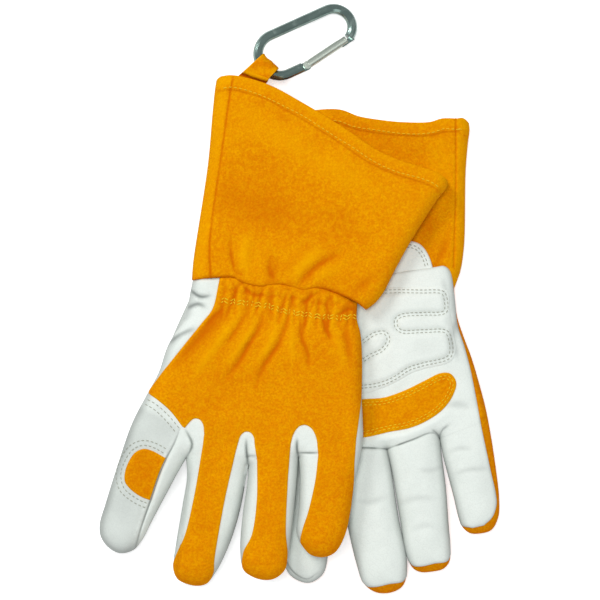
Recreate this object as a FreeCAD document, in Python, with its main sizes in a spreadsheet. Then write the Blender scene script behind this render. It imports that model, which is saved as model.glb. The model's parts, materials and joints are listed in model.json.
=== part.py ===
import FreeCAD, Part
import math
import os
import Sketcher

# A pair of leather gauntlet gloves, stored flat one on the other. The right glove lies
# palm up and is the base. The left glove lies on it, back up, with its thumb folded
# under its palm. A strap loop in the left cuff holds a carabiner with a sprung gate.
#
# Frame: X across the pair, Y from the fingertips to the cuffs, Z up. Both gloves are
# drawn in a glove frame: x from the thumb side to the little-finger side, y towards
# the cuff, with the middle of the wrist seam at the origin.

V = FreeCAD.Vector
doc = FreeCAD.newDocument("gauntlet_gloves")

SIZES = {
    # hand
    "wrist_width": 106, "thenar_width": 123, "knuckle_width": 138, "hand_height": 16,
    "hand_length": 84, "leather": 2.5, "side_round": 5.5, "thumb_wrap": 9, "little_wrap": 5,
    "open_reach": 20,
    # fingers: root place across the hand and along it, length and width
    "index_root": -55.5, "index_depth": 77, "index_length": 95, "index_width": 33.4,
    "middle_root": -21.2, "middle_depth": 86, "middle_length": 101, "middle_width": 33.6,
    "ring_root": 13.2, "ring_depth": 86, "ring_length": 91, "ring_width": 33.6,
    "little_root": 47.6, "little_depth": 78, "little_length": 80, "little_width": 33.6,
    "finger_taper": 6.5, "tip_cut": 6, "finger_bevel": 4, "finger_side": 4, "finger_lining": 3,
    "strip_margin": 6, "strip_thickness": 1.6, "strip_seam": 1.5, "index_margin": 3.5,
    "patch_length": 26, "patch_width": 19, "patch_setback": 42, "patch_thickness": 0.8,
    # splay of each finger from the glove's length, towards the thumb side, and droop
    "left_index_splay": 11, "left_middle_splay": 2, "left_ring_splay": -4,
    "left_little_splay": -2, "right_index_splay": 6, "right_middle_splay": -2.5,
    "right_ring_splay": -1, "right_little_splay": 3, "index_droop": 8, "middle_droop": 7,
    # thumb
    "thumb_length": 70, "thumb_splay": 45, "thumb_width": 33, "thumb_height": 15,
    "thumb_edge_lean": 14.6, "right_thumb_x": 66.8, "right_thumb_y": 49, "left_thumb_x": 38,
    "left_thumb_y": 8, "thumb_fold": 14.5,
    # cuff
    "cuff_length": 117, "cuff_mouth_width": 160, "cuff_height": 13, "cuff_leather": 1.8,
    "cuff_bevel": 3, "cuff_corner": 5, "cuff_crest": 9, "elastic_width": 18,
    "elastic_length": 82, "elastic_thickness": 1, "elastic_setback": 14,
    # leather laid over the palm
    "overlay": 1.3, "tab_length": 20,
    # running gaps
    "joint_gap": 0.4, "seam_gap": 0.1, "layer_gap": 0.4,
    # where the gloves lie: wrist centre and turn of the hand and of the cuff
    "left_wrist_x": -16.6, "left_wrist_y": 0, "left_hand_turn": -8, "left_cuff_turn": -19.3,
    "right_wrist_x": 46.8, "right_wrist_y": 0, "right_hand_turn": 8, "right_cuff_turn": 9,
    # carabiner
    "rod": 6.4, "clip_width": 33.8, "clip_spine": 40.4, "nose_bend": 11.8, "nose_stop": 62,
    "gate_diameter": 5.4, "gate_bore": 3.4, "tongue_thickness": 2.2, "rivet": 2.2,
    "hinge_reach": 10, "fork_length": 5, "latch_pin": 1.6, "clip_turn": 25.3, "nose_gap": 2.2,
    "pin_clearance": 0.05, "ear_clearance": 0.15,
    # strap loop
    "strap_width": 12, "strap_thickness": 1.5, "strap_tail": 16, "strap_eye": 10,
    "strap_turn": 45, "strap_reach": 12.8, "strap_place": 0.377,
}

sheet = doc.addObject("Spreadsheet::Sheet", "Sizes")
for row, (alias, number) in enumerate(SIZES.items(), start=1):
    sheet.set(f"A{row}", alias)
    sheet.set(f"B{row}", str(number))
    sheet.setAlias(f"B{row}", alias)
doc.recompute()


def size(alias):
    """A driving dimension, as the sheet holds it."""
    return float(sheet.get(alias))


# ---------------------------------------------------------------- modelling steps


def plane(body, role):
    """One of the body's own origin planes."""
    return next(item for item in body.Origin.OriginFeatures if item.Role == role)


def new_sketch(body, name, role="XY_Plane", offset="0"):
    """An empty sketch on an origin plane, moved along the plane's normal."""
    sketch = body.newObject("Sketcher::SketchObject", name)
    sketch.AttachmentSupport = [(plane(body, role), "")]
    sketch.MapMode = "FlatFace"
    sketch.setExpression("AttachmentOffset.Base.z", offset)
    return sketch


def bind_point(sketch, geometry, end, point):
    """Ties a point of the sketch to two formulas of the sheet."""
    for kind, formula in zip(("DistanceX", "DistanceY"), point):
        value = float(sketch.evalExpression(formula))
        number = sketch.addConstraint(Sketcher.Constraint(kind, -1, 1, geometry, end, value))
        sketch.setExpression(f"Constraints[{number}]", formula)


def polygon(body, name, corners, role="XY_Plane", offset="0"):
    """A closed sketch of straight sides. Each corner is a pair of formulas."""
    sketch = new_sketch(body, name, role, offset)
    points = [V(*(float(sketch.evalExpression(f)) for f in corner), 0) for corner in corners]
    count = len(points)
    for i in range(count):
        sketch.addGeometry(Part.LineSegment(points[i], points[(i + 1) % count]))
    for i in range(count):
        sketch.addConstraint(Sketcher.Constraint("Coincident", i, 2, (i + 1) % count, 1))
        bind_point(sketch, i, 1, corners[i])
    return sketch


def circle(body, name, centre, radius, role="XY_Plane", offset="0"):
    """A sketch of one circle."""
    sketch = new_sketch(body, name, role, offset)
    point = V(*(float(sketch.evalExpression(f)) for f in centre), 0)
    value = float(sketch.evalExpression(radius))
    sketch.addGeometry(Part.Circle(point, V(0, 0, 1), value))
    bind_point(sketch, 0, 3, centre)
    number = sketch.addConstraint(Sketcher.Constraint("Radius", 0, value))
    sketch.setExpression(f"Constraints[{number}]", radius)
    return sketch


def new_body(label):
    body = doc.addObject("PartDesign::Body", label)
    body.Label = label
    return body


def pad(body, sketch, length, downwards=False, both=False):
    feature = body.newObject("PartDesign::Pad", sketch.Name + "_pad")
    feature.Profile = sketch
    feature.Reversed = downwards
    feature.Midplane = both
    feature.setExpression("Length", length)
    doc.recompute()
    return feature


def cut(body, sketch, length, backwards=False, both=False):
    """A pocket, which has to take material away."""
    before = body.Tip.Shape.Volume
    feature = body.newObject("PartDesign::Pocket", sketch.Name + "_cut")
    feature.Profile = sketch
    feature.Reversed = backwards
    feature.Midplane = both
    feature.setExpression("Length", length)
    doc.recompute()
    if feature.Shape.Volume > before - 1e-3:
        raise RuntimeError(f"{body.Label}: {feature.Name} cuts nothing")
    return feature


def round_edges(body, base, chosen, radius, kind="Fillet"):
    """Rounds or, as a chamfer, bevels the edges of the base feature that the test picks."""
    names = [f"Edge{i}" for i, edge in enumerate(base.Shape.Edges, start=1) if chosen(edge)]
    if not names:
        raise RuntimeError(f"{body.Label}: no edge to round")
    feature = body.newObject(f"PartDesign::{kind}", base.Name + "_round")
    feature.Base = (base, names)
    feature.setExpression("Radius" if kind == "Fillet" else "Size", radius)
    doc.recompute()
    if "Invalid" in feature.State:
        raise RuntimeError(f"{body.Label}: {feature.Name} can't be rounded")
    return feature


def upright(edge, x, y):
    """Whether the edge stands upright on the point (x, y)."""
    box = edge.BoundBox
    flat = box.XLength < 1e-6 and box.YLength < 1e-6
    return flat and math.hypot(box.XMin - x, box.YMin - y) < 1e-4


def round_corners(body, base, corners, radii):
    """Rounds upright corners, each by its own formula."""
    for number, radius in radii.items():
        sketch_point = [float(base.evalExpression(f)) for f in corners[number]]
        base = round_edges(body, base, lambda e: upright(e, *sketch_point), radius)
    return base


def on_side(point, a, b):
    """Whether the point lies on the straight side from a to b."""
    along = b - a
    away = (point - a).cross(along)
    return abs(away.z) / along.Length < 1e-4


def round_rim(body, base, corners, level, open_sides, radius, kind="Fillet"):
    """Rounds or bevels the rim of the face at that level, apart from the open sides."""
    points = [V(*(float(base.evalExpression(f)) for f in corner), 0) for corner in corners]
    sides = [(points[i], points[(i + 1) % len(points)]) for i in open_sides]
    height = float(base.evalExpression(level))

    def chosen(edge):
        box = edge.BoundBox
        if abs(box.ZMin - height) > 1e-6 or abs(box.ZMax - height) > 1e-6:
            return False
        middle = edge.valueAt((edge.FirstParameter + edge.LastParameter) / 2)
        middle.z = 0
        return not any(on_side(middle, a, b) for a, b in sides)

    return round_edges(body, base, chosen, radius, kind)


def plate(label, corners, radii, face, thickness, downwards=True):
    """A flat piece of leather: its outer face at the level face, its thickness below it
    or, with downwards False, above it."""
    body = new_body(label)
    base = pad(body, polygon(body, "outline", corners, offset=face), thickness, downwards)
    round_corners(body, base, corners, radii)
    return body


def tray(label, corners, radii, hollow, face, height, wall, up, open_sides, rim, kind="Fillet"):
    """One half of a leather shell: an outer face at the level face, rounded sides, and a
    hollow that leaves a wall and is open where the hollow's outline passes the sides."""
    body = new_body(label)
    outline = polygon(body, "outline", corners, offset=face)
    base = pad(body, outline, height, downwards=up)
    base = round_corners(body, base, corners, radii)
    round_rim(body, base, corners, face, open_sides, rim, kind)
    seam = f"{face} - ({height})" if up else f"{face} + {height}"
    inside = polygon(body, "inside", hollow, offset=seam)
    cut(body, inside, f"({height}) - ({wall})", backwards=up)
    return body


# ---------------------------------------------------------------- glove outlines

S = "Sizes."
FINGERS = ("index", "middle", "ring", "little")
# The left glove bends at its wrist. The right one's seam is held closed by its weight.
WRIST_GAP = {"left": "joint_gap", "right": "seam_gap"}


def root_ends(side, finger):
    """Formulas for the two ends of a finger's root line, in the hand's frame."""
    turn = f"{S}{side}_{finger}_splay * 1deg"
    half = f"{S}{finger}_width / 2"
    return [
        (f"{S}{finger}_root {sign} {half} * cos({turn})",
         f"-{S}{finger}_depth + ({sign}1) * (-1) * {half} * sin({turn})")
        for sign in ("-", "+")
    ]


def hand_outline(side, thumb_inset="0", little_inset="0"):
    """The hand from the wrist seam round to the wrist seam, thumb side first."""
    lean = f"tan(({S}{side}_hand_turn - {S}{side}_cuff_turn) * 0.5deg)"
    wrist = f"{S}wrist_width / 2"
    thenar = f"{S}thenar_width / 2"
    knuckle = f"{S}knuckle_width / 2"
    corners = [
        (f"-{wrist} + {thumb_inset}",
         f"({wrist} - ({thumb_inset})) * {lean} - {S}{WRIST_GAP[side]} / 2"),
        (f"-{wrist} - 2 + {thumb_inset}", f"-{S}hand_length * 0.24"),
        (f"-{thenar} - 3 + {thumb_inset}", f"-{S}hand_length * 0.5"),
        (f"-{knuckle} - 1.5 + {thumb_inset} / 3", f"-{S}index_depth + 12"),
    ]
    for finger in FINGERS:
        corners += root_ends(side, finger)
    corners += [
        (f"{knuckle} - 3 - {little_inset}", f"-{S}little_depth + 12"),
        (f"{thenar} + 1 - {little_inset}", f"-{S}hand_length * 0.45"),
        (f"{wrist} + 3 - {little_inset}", f"-{S}hand_length * 0.2"),
        (f"{wrist} - {little_inset}",
         f"-({wrist} - ({little_inset})) * {lean} - {S}{WRIST_GAP[side]} / 2"),
    ]
    return corners


def side_corners(corners):
    """How many of a hand's corners are on each side, before and after the finger roots."""
    return (len(corners) - 2 * len(FINGERS)) // 2


def closed_sides(corners):
    """The hand's sides along the finger roots and at the wrist, which stay square."""
    on_side = side_corners(corners)
    return list(range(on_side, len(corners) - on_side - 1)) + [len(corners) - 1]


def hand_hollow(side):
    """The space for the hand: open at the wrist and at the finger roots."""
    corners = hand_outline(side)
    thumb = f"({S}leather + {S}thumb_wrap)"
    little = f"({S}leather + {S}little_wrap)"
    on_side = side_corners(corners)
    thumb_side = [(f"{x} + {thumb}", y) for x, y in corners[:on_side]]
    little_side = [(f"{x} - {little}", y) for x, y in corners[-on_side:]]
    thumb_side[0] = (thumb_side[0][0], f"{thumb_side[0][1]} + {S}open_reach")
    little_side[-1] = (little_side[-1][0], f"{little_side[-1][1]} + {S}open_reach")
    beyond = f"-{S}middle_depth - {S}open_reach"
    ends = [(thumb_side[-1][0], beyond), (little_side[0][0], beyond)]
    return thumb_side + ends + little_side


def cuff_outline(side, grow="0"):
    """A flared cuff in its own frame, its mouth a shallow wave."""
    lean = f"tan(({S}{side}_hand_turn - {S}{side}_cuff_turn) * 0.5deg)"
    wrist = f"{S}wrist_width / 2"
    mouth = f"{S}cuff_mouth_width / 2"
    return [
        (f"-{wrist}", f"-{wrist} * {lean} + {S}{WRIST_GAP[side]} / 2"),
        (f"{wrist}", f"{wrist} * {lean} + {S}{WRIST_GAP[side]} / 2"),
        (f"{mouth}", f"{S}cuff_length - 7"),
        (f"{mouth} * 0.55", f"{S}cuff_length - 6"),
        (f"-{mouth} * 0.35", f"{S}cuff_length + {S}cuff_crest"),
        (f"-{mouth}", f"{S}cuff_length + {S}cuff_crest - 3"),
    ]


def cuff_hollow(side):
    """The space in the cuff: open at the wrist and at the mouth."""
    corners = cuff_outline(side)
    wall = f"{S}cuff_leather * 1.2"

    def beyond(start, end, share, inward):
        """A point on a side's line, past its end by a share of its length."""
        (ax, ay), (bx, by) = start, end
        x = f"({bx}) + (({bx}) - ({ax})) * {share} {inward} {wall}"
        return x, f"({by}) + (({by}) - ({ay})) * {share}"

    return [
        beyond(corners[-1], corners[0], "0.2", "+"),
        beyond(corners[2], corners[1], "0.2", "-"),
        beyond(corners[1], corners[2], "0.25", "-"),
        beyond(corners[0], corners[-1], "0.25", "+"),
    ]


def finger_outline(finger, margin="0", reach="0", back="0"):
    """A tapered finger from its root line to its tip, in the finger's frame."""
    half = f"{S}{finger}_width / 2 - ({margin})"
    tip = f"({S}{finger}_width - {S}finger_taper) / 2 - ({margin})"
    length = f"-{S}{finger}_length - ({reach})"
    return [(f"-({half})", back), (f"-({tip})", length), (tip, length), (half, back)]


def finger_rounds(finger, margin="0"):
    radius = f"({S}{finger}_width - {S}finger_taper) / 2 - ({margin}) - 0.6"
    return {1: radius, 2: radius}


# ---------------------------------------------------------------- pieces of a glove


def level(side, distance):
    """Height of a surface, given its distance from the back's outer face. The right
    glove lies on its back, and the left one has its back on top."""
    if side == "right":
        return f"({distance})"
    return f"({LEFT_BACK} - ({distance}))"


LEFT_BACK = f"({S}hand_height * 2 + {S}overlay * 2 + {S}layer_gap)"
CUFF_FLOOR = f"({S}hand_height + {S}overlay + {S}layer_gap)"
LEFT_PALM = f"({LEFT_BACK} - {S}hand_height)"
LEFT_THUMB_FLOOR = f"({LEFT_PALM} - {S}overlay - {S}seam_gap - {S}thumb_height)"


def faces_up(side, outer_is_back):
    return (side == "left") == outer_is_back


def make_hand(side):
    hollow = hand_hollow(side)
    half = f"{S}hand_height / 2"
    palm = hand_outline(side, little_inset=f"{S}little_wrap")
    closed = closed_sides(palm)
    back = hand_outline(side, thumb_inset=f"{S}thumb_wrap")
    tray(f"{side}_palm", palm, {}, hollow, level(side, f"{S}hand_height"), half,
         f"{S}leather", faces_up(side, False), closed, f"{S}side_round")
    tray(f"{side}_back", back, {}, hollow, level(side, "0"), half,
         f"{S}leather", faces_up(side, True), closed, f"{S}side_round")
    span = f"{S}elastic_length / 2"
    near = f"-{S}elastic_setback"
    far = f"-{S}elastic_setback - {S}elastic_width"
    strip = [(f"-{span}", near), (f"-{span}", far), (span, far), (span, near)]
    plate(f"{side}_wrist_elastic", strip, {}, level(side, f"{S}leather"),
          f"{S}elastic_thickness", downwards=side == "left")


def make_finger(side, finger):
    """A finger stall of grain leather, bored from its root, with a slot along its back
    that the back strip closes."""
    name = f"{side}_{finger}_stall"
    body = new_body(name)
    corners = finger_outline(finger)
    palm_face = level(side, f"{S}hand_height")
    back_face = level(side, f"{S}strip_thickness")
    outline = polygon(body, "outline", corners, offset=palm_face)
    base = pad(body, outline, f"{S}hand_height - {S}strip_thickness", side == "right")
    base = round_corners(body, base, corners, finger_rounds(finger))
    base = round_rim(body, base, corners, palm_face, [3], f"{S}finger_bevel", "Chamfer")
    round_rim(body, base, corners, back_face, [3], f"{S}finger_bevel", "Chamfer")
    inside = blunt(finger_outline(finger, f"{S}finger_side", f"-{S}finger_side", "5"))
    floor = floor_of(side, f"{S}finger_lining", f"{S}strip_thickness + {S}leather")
    cut(body, polygon(body, "inside", inside, offset=floor),
        f"{S}hand_height - {S}finger_lining - {S}strip_thickness - {S}leather", backwards=True)
    margin = f"{margin_of(finger)} + {S}strip_seam"
    slot = finger_outline(finger, margin, f"-{S}strip_seam - {S}finger_side", "10")
    window = polygon(body, "slot", slot, offset=back_face)
    cut(body, window, f"{S}leather + 1", backwards=side == "right")
    strip = finger_outline(finger, margin_of(finger), "0.8", "0")
    plate(f"{side}_{finger}_back", strip, finger_rounds(finger, margin_of(finger)),
          level(side, "0"), f"{S}strip_thickness", downwards=side == "left")


def margin_of(finger):
    return f"{S}index_margin" if finger == "index" else f"{S}strip_margin"


def make_index_patch(side):
    """A soft patch on the back of the index finger, proud of the back on the left glove
    and let into it on the glove that lies on its back."""
    half = f"{S}patch_width / 2"
    near = f"-{S}patch_setback"
    far = f"-{S}patch_setback - {S}patch_length"
    corners = [
        (f"-{half} + 4", near), (f"-{half}", f"{near} - 4"), (f"-{half} + 1.5", f"{far} + 5"),
        (f"-{half} + 6", far), (f"{half} - 6", far), (f"{half} - 1.5", f"{far} + 5"),
        (half, f"{near} - 4"), (f"{half} - 4", near),
    ]
    plate(f"{side}_index_patch", corners, {}, level(side, "0"), f"{S}patch_thickness",
          downwards=side == "left")
    back = doc.getObject(f"{side}_index_back")
    seat = polygon(back, "patch_seat", corners, offset=level(side, "0"))
    cut(back, seat, f"{S}patch_thickness", backwards=side == "right")


def blunt(corners):
    """A finger's outline with its two tip corners cut off."""
    (x1, y1), (x2, y2) = corners[1], corners[2]
    reach = f"{S}tip_cut"
    return [
        corners[0], (x1, f"{y1} + {reach}"), (f"{x1} + {reach}", y1),
        (f"{x2} - {reach}", y2), (x2, f"{y2} + {reach}"), corners[3],
    ]


def floor_of(side, palm_wall, back_wall):
    """The lower level of the space inside a finger."""
    if side == "right":
        return level(side, back_wall)
    return level(side, f"{S}hand_height - ({palm_wall})")


def make_thumb(side, slant, low):
    """A whole thumb stall, open at its root. The root is cut square, or slanted where the
    thumb leaves the edge of the hand at an angle."""
    body = new_body(f"{side}_thumb")
    half = f"{S}thumb_width / 2"
    tip = f"({S}thumb_width - {S}finger_taper) / 2"
    far = f"-{S}thumb_length"
    corners = [(f"-{half}", slant), (f"-{tip}", far), (tip, far), (half, f"-{slant}")]
    rounds = {1: f"{tip} - 0.6", 2: f"{tip} - 0.6"}
    top = f"({low} + {S}thumb_height)"
    base = pad(body, polygon(body, "outline", corners, offset=low), f"{S}thumb_height")
    base = round_corners(body, base, corners, rounds)
    base = round_rim(body, base, corners, top, [3], f"{S}finger_bevel", "Chamfer")
    round_rim(body, base, corners, low, [3], f"{S}finger_bevel", "Chamfer")
    side_wall = f"{S}finger_side"
    hollow = [
        (f"-{half} + {side_wall}", f"{slant} + 8"),
        (f"-{tip} + {side_wall}", f"{far} + {side_wall}"),
        (f"{tip} - {side_wall}", f"{far} + {side_wall}"),
        (f"{half} - {side_wall}", f"8 - {slant}"),
    ]
    inside = polygon(body, "inside", blunt(hollow), offset=f"{low} + {S}finger_lining")
    cut(body, inside, f"{S}thumb_height - 2 * {S}finger_lining", backwards=True)


def make_cuff(side):
    """Two flat panels joined at their side seams, open at the mouth and at the wrist."""
    corners = cuff_outline(side)
    hollow = cuff_hollow(side)
    rounds = {2: f"{S}cuff_corner", 3: "40", 4: "60", 5: f"{S}cuff_corner"}
    half = f"{S}cuff_height / 2"
    low = CUFF_FLOOR if side == "left" else "0"
    high = f"({low} + {S}cuff_height)"
    faces = {"palm": low, "back": high} if side == "left" else {"palm": high, "back": low}
    for name, face in faces.items():
        tray(f"{side}_cuff_{name}", corners, rounds, hollow, face, half, f"{S}cuff_leather",
             face == high, [0, 2, 3, 4], f"{S}cuff_bevel", "Chamfer")
    reach = f"{S}wrist_width / 2"
    tab = [
        (f"{reach} * 0.28", "6"), (f"{reach} * 0.9", "6"),
        (f"{reach} * 0.82", f"{S}tab_length"), (f"{reach} * 0.5", f"{S}tab_length + 9"),
    ]
    outer = f"({high} + {S}overlay)" if side == "right" else f"({low} - {S}overlay)"
    plate(f"{side}_cuff_tab", tab, {2: "7", 3: "9"}, outer, f"{S}overlay",
          downwards=side == "right")


def make_overlays(side):
    """Leather laid on the palm: a quilted pad with a slit, a tongue at the thumb's root
    and a patch across the knuckle creases."""
    face = level(side, f"{S}hand_height + {S}overlay")
    down = side == "right"
    pad_outline = [
        ("9", "-3"), ("43", "-6.5"), ("45", "-14"), ("17", "-12"), ("12", "-16"),
        ("17", "-20"), ("45", "-24"), ("44", "-40"), ("27", "-43"), ("6", "-48"),
        ("-18", "-51"), ("-18", "-38"), ("4", "-33"), ("9", "-24"), ("2", "-14"),
    ]
    rounds = {1: "5", 6: "5", 7: "7"}
    plate(f"{side}_palm_pad", pad_outline, rounds, face, f"{S}overlay", down)
    tongue = [("-31", "-14"), ("-4", "-16"), ("4", "-22"), ("2", "-29"), ("-12", "-34"),
              ("-31", "-38")]
    plate(f"{side}_thumb_tongue", tongue, {2: "4", 3: "4"}, face, f"{S}overlay", down)
    crease = [("-44", "-58"), ("8", "-57"), ("35", "-51"), ("44", "-51"), ("45", "-60"),
              ("35", "-72"), ("14", "-80"), ("-20", "-81"), ("-44", "-76")]
    plate(f"{side}_knuckle_patch", crease, {3: "5", 4: "8", 5: "14"},
          face, f"{S}overlay", down)


# ---------------------------------------------------------------- carabiner

ROD_SIDES = 12
SPINE = f"(({S}clip_width - {S}rod) / 2)"
NOSE_Y = f"({SPINE} - {S}nose_bend)"
HINGE_X = f"(-{S}clip_spine / 2 + {S}hinge_reach)"


def rod_section(body, name, across, offset, axis=None):
    """The forged rod's twelve-sided section, square to X, and a line along Z to turn it
    about."""
    around = [f"({15 + 30 * i}deg)" for i in range(ROD_SIDES)]
    corners = [(f"{across} + {S}rod / 2 * cos{a}", f"{S}rod / 2 * sin{a}") for a in around]
    sketch = polygon(body, name, corners, role="YZ_Plane", offset=offset)
    if axis is not None:
        middle = float(sketch.evalExpression(axis))
        sketch.addGeometry(Part.LineSegment(V(middle, -5, 0), V(middle, 5, 0)), True)
        sketch.addConstraint(Sketcher.Constraint("Vertical", ROD_SIDES))
        bind_point(sketch, ROD_SIDES, 1, (axis, "-5"))
    return sketch


def bend(body, section, angle):
    """Turns the rod's section about the section's own line."""
    feature = body.newObject("PartDesign::Revolution", section.Name + "_bend")
    feature.Profile = section
    feature.ReferenceAxis = (section, ["Axis0"])
    feature.Reversed = section.Name.startswith("small")
    feature.setExpression("Angle", angle)
    doc.recompute()
    return feature


def make_clip_body():
    """The bent rod: hinge end, large bend, spine, small bend up to the nose."""
    body = new_body("carabiner_body")
    half = f"{S}clip_spine / 2"
    pad(body, rod_section(body, "spine", SPINE, f"-{half}"), f"{S}clip_spine")
    bend(body, rod_section(body, "large", SPINE, f"-{half}", axis="0"), "180deg")
    bend(body, rod_section(body, "small", SPINE, half, axis=NOSE_Y), f"({S}nose_stop + 90) * 1deg")
    pad(body, rod_section(body, "hinge_end", f"-{SPINE}", f"-{half}"), f"{S}hinge_reach")
    return body


def finish_clip_body(body):
    """Adds the hinge tongue and the hooked nose tongue to the rod."""
    rivet_x = f"({HINGE_X} + {S}fork_length * 0.65)"
    wide = f"{S}gate_diameter / 2 - 0.4"
    tongue = [
        (f"{HINGE_X} - 2", f"-{SPINE} - {wide}"), (f"{rivet_x} + {wide}", f"-{SPINE} - {wide}"),
        (f"{rivet_x} + {wide}", f"-{SPINE} + {wide}"), (f"{HINGE_X} - 2", f"-{SPINE} + {wide}"),
    ]
    outline = polygon(body, "tongue", tongue)
    base = pad(body, outline, f"{S}tongue_thickness", both=True)
    round_corners(body, base, tongue, {1: f"{wide} - 0.1", 2: f"{wide} - 0.1"})
    hole = circle(body, "rivet_hole", (rivet_x, f"-{SPINE}"), f"{S}rivet / 2 + {S}pin_clearance",
                  offset=f"{S}tongue_thickness")
    cut(body, hole, f"{S}tongue_thickness * 2")
    hook = [rotate_point(x, y) for x, y in (
        (f"{GATE_REACH} + 2.5", f"-{wide}"), (f"{GATE_REACH} + 2.5", "0"),
        (f"{PIN_X} + {S}latch_pin / 2 + {S}ear_clearance", "0"),
        (f"{PIN_X} + {S}latch_pin / 2 + {S}ear_clearance",
         f"{PIN_Y} - {S}latch_pin / 2 - {S}ear_clearance"),
        (f"{PIN_X} - {S}latch_pin / 2 - {S}ear_clearance",
         f"{PIN_Y} - {S}latch_pin / 2 - {S}ear_clearance"),
        (f"{PIN_X} - {S}latch_pin / 2 - {S}ear_clearance", f"{PIN_Y} + 0.5"),
        (f"{PIN_X} - {S}latch_pin / 2 - 1.4", f"{PIN_Y} + 0.3"),
        (f"{PIN_X} - {S}latch_pin / 2 - 1.6", f"-{wide}"),
    )]
    pad(body, polygon(body, "nose_hook", hook), f"{S}tongue_thickness", both=True)


RIVET_X = f"({HINGE_X} + {S}fork_length * 0.65)"
NOSE_END = (f"({S}clip_spine / 2 + {S}nose_bend * cos({S}nose_stop * 1deg))",
            f"({NOSE_Y} - {S}nose_bend * sin({S}nose_stop * 1deg))")
GATE_REACH = f"(sqrt(({NOSE_END[0]} - {RIVET_X})^2 + ({NOSE_END[1]} + {SPINE})^2))"
GATE_COS = f"(({NOSE_END[0]} - {RIVET_X}) / {GATE_REACH})"
GATE_SIN = f"(({NOSE_END[1]} + {SPINE}) / {GATE_REACH})"
PIN_X = f"({GATE_REACH} - 4.2)"
PIN_Y = "0.2"


def rotate_point(x, y):
    """A point of the gate's own frame, in the carabiner's frame."""
    return (f"{RIVET_X} + ({x}) * {GATE_COS} - ({y}) * {GATE_SIN}",
            f"-{SPINE} + ({x}) * {GATE_SIN} + ({y}) * {GATE_COS}")


def make_gate():
    """The gate in its own frame: hinge at the origin, nose end along X."""
    body = new_body("carabiner_gate")
    tube = circle(body, "tube", ("0", "0"), f"{S}gate_diameter / 2", role="YZ_Plane")
    pad(body, tube, f"{GATE_REACH} - {S}nose_gap")
    ears = circle(body, "ears", ("0", "0"), f"{S}gate_diameter / 2 - 0.1")
    pad(body, ears, f"{S}gate_diameter - 1", both=True)
    slot_half = f"({S}tongue_thickness / 2 + {S}ear_clearance)"
    wide = f"({S}gate_diameter)"
    for name, near, far in (("hinge_slot", f"-{S}gate_diameter", f"{S}gate_diameter / 2 + 0.3"),
                            ("nose_slot", f"{PIN_X} - {S}latch_pin / 2 - 2.2", f"{GATE_REACH} + 2")):
        corners = [(near, f"-{slot_half}"), (far, f"-{slot_half}"), (far, slot_half),
                   (near, slot_half)]
        cut(body, polygon(body, name, corners, role="XZ_Plane"), f"{wide} * 2", both=True)
    bore = circle(body, "spring_bore", ("0", "0"), f"{S}gate_bore / 2", role="YZ_Plane",
                  offset=f"{S}gate_diameter / 2")
    cut(body, bore, f"{GATE_REACH} * 0.6", backwards=True)
    hole = circle(body, "rivet_hole", ("0", "0"), f"{S}rivet / 2")
    cut(body, hole, f"{wide} * 2", both=True)
    hole = circle(body, "pin_hole", (PIN_X, PIN_Y), f"{S}latch_pin / 2")
    cut(body, hole, f"{wide} * 2", both=True)
    rivet = new_body("gate_rivet")
    shank = circle(rivet, "shank", ("0", "0"), f"{S}rivet / 2")
    pad(rivet, shank, f"{S}gate_diameter - 0.4", both=True)
    pin = new_body("latch_pin")
    shank = circle(pin, "shank", (PIN_X, PIN_Y), f"{S}latch_pin / 2")
    pad(pin, shank, f"{S}gate_diameter - 0.6", both=True)
    plunger = new_body("gate_plunger")
    radius = f"{S}gate_bore / 2 - 0.15"
    start = f"{S}gate_diameter / 2 + 0.1"
    pad(plunger, circle(plunger, "head", ("0", "0"), radius, role="YZ_Plane", offset=start), "3")


def make_spring():
    """A compression spring between the plunger and the end of the gate's bore."""
    probe = doc.getObject("carabiner_gate")
    start = size("gate_diameter") / 2 + 0.1 + 3
    end = size("gate_diameter") / 2 + float(probe.evalExpression(GATE_REACH)) * 0.6
    wire = 0.5
    middle = size("gate_bore") / 2 - 0.1 - wire / 2
    turns = 6
    steps = 6
    travel = end - start - wire
    sections = []
    for i in range(turns * steps + 1):
        turn = 2 * math.pi * i / steps
        x = start + wire / 2 + travel * i / (turns * steps)
        corners = [(-1, -1), (1, -1), (0, 1), (-1, -1)]
        ring = [
            V(x + a * wire / 2, (middle + b * wire / 2) * math.cos(turn),
              (middle + b * wire / 2) * math.sin(turn))
            for a, b in corners
        ]
        sections.append(Part.makePolygon(ring))
    spring = doc.addObject("Part::Feature", "gate_spring")
    spring.Label = "gate_spring"
    spring.Shape = Part.makeLoft(sections, True, True)
    return spring


def make_loop():
    """A strap folded round the carabiner's rod: an eye about the Y axis at the origin and
    a double tail that runs into the cuff."""
    body = new_body("hang_loop")
    outer = f"({S}strap_eye / 2 + {S}strap_thickness)"
    eye = circle(body, "eye", ("0", "0"), outer, role="XZ_Plane")
    pad(body, eye, f"{S}strap_width", both=True)
    tail = [
        (f"-{S}strap_reach - {S}strap_tail", f"{outer} - 2 * {S}strap_thickness"),
        ("0", f"{outer} - 2 * {S}strap_thickness"), ("0", outer),
        (f"-{S}strap_reach - {S}strap_tail", outer),
    ]
    pad(body, polygon(body, "tail", tail, role="XZ_Plane"), f"{S}strap_width", both=True)
    hole = circle(body, "eye_hole", ("0", "0"), f"{S}strap_eye / 2", role="XZ_Plane")
    cut(body, hole, f"{S}strap_width * 2", both=True)


# ---------------------------------------------------------------- build

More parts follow.
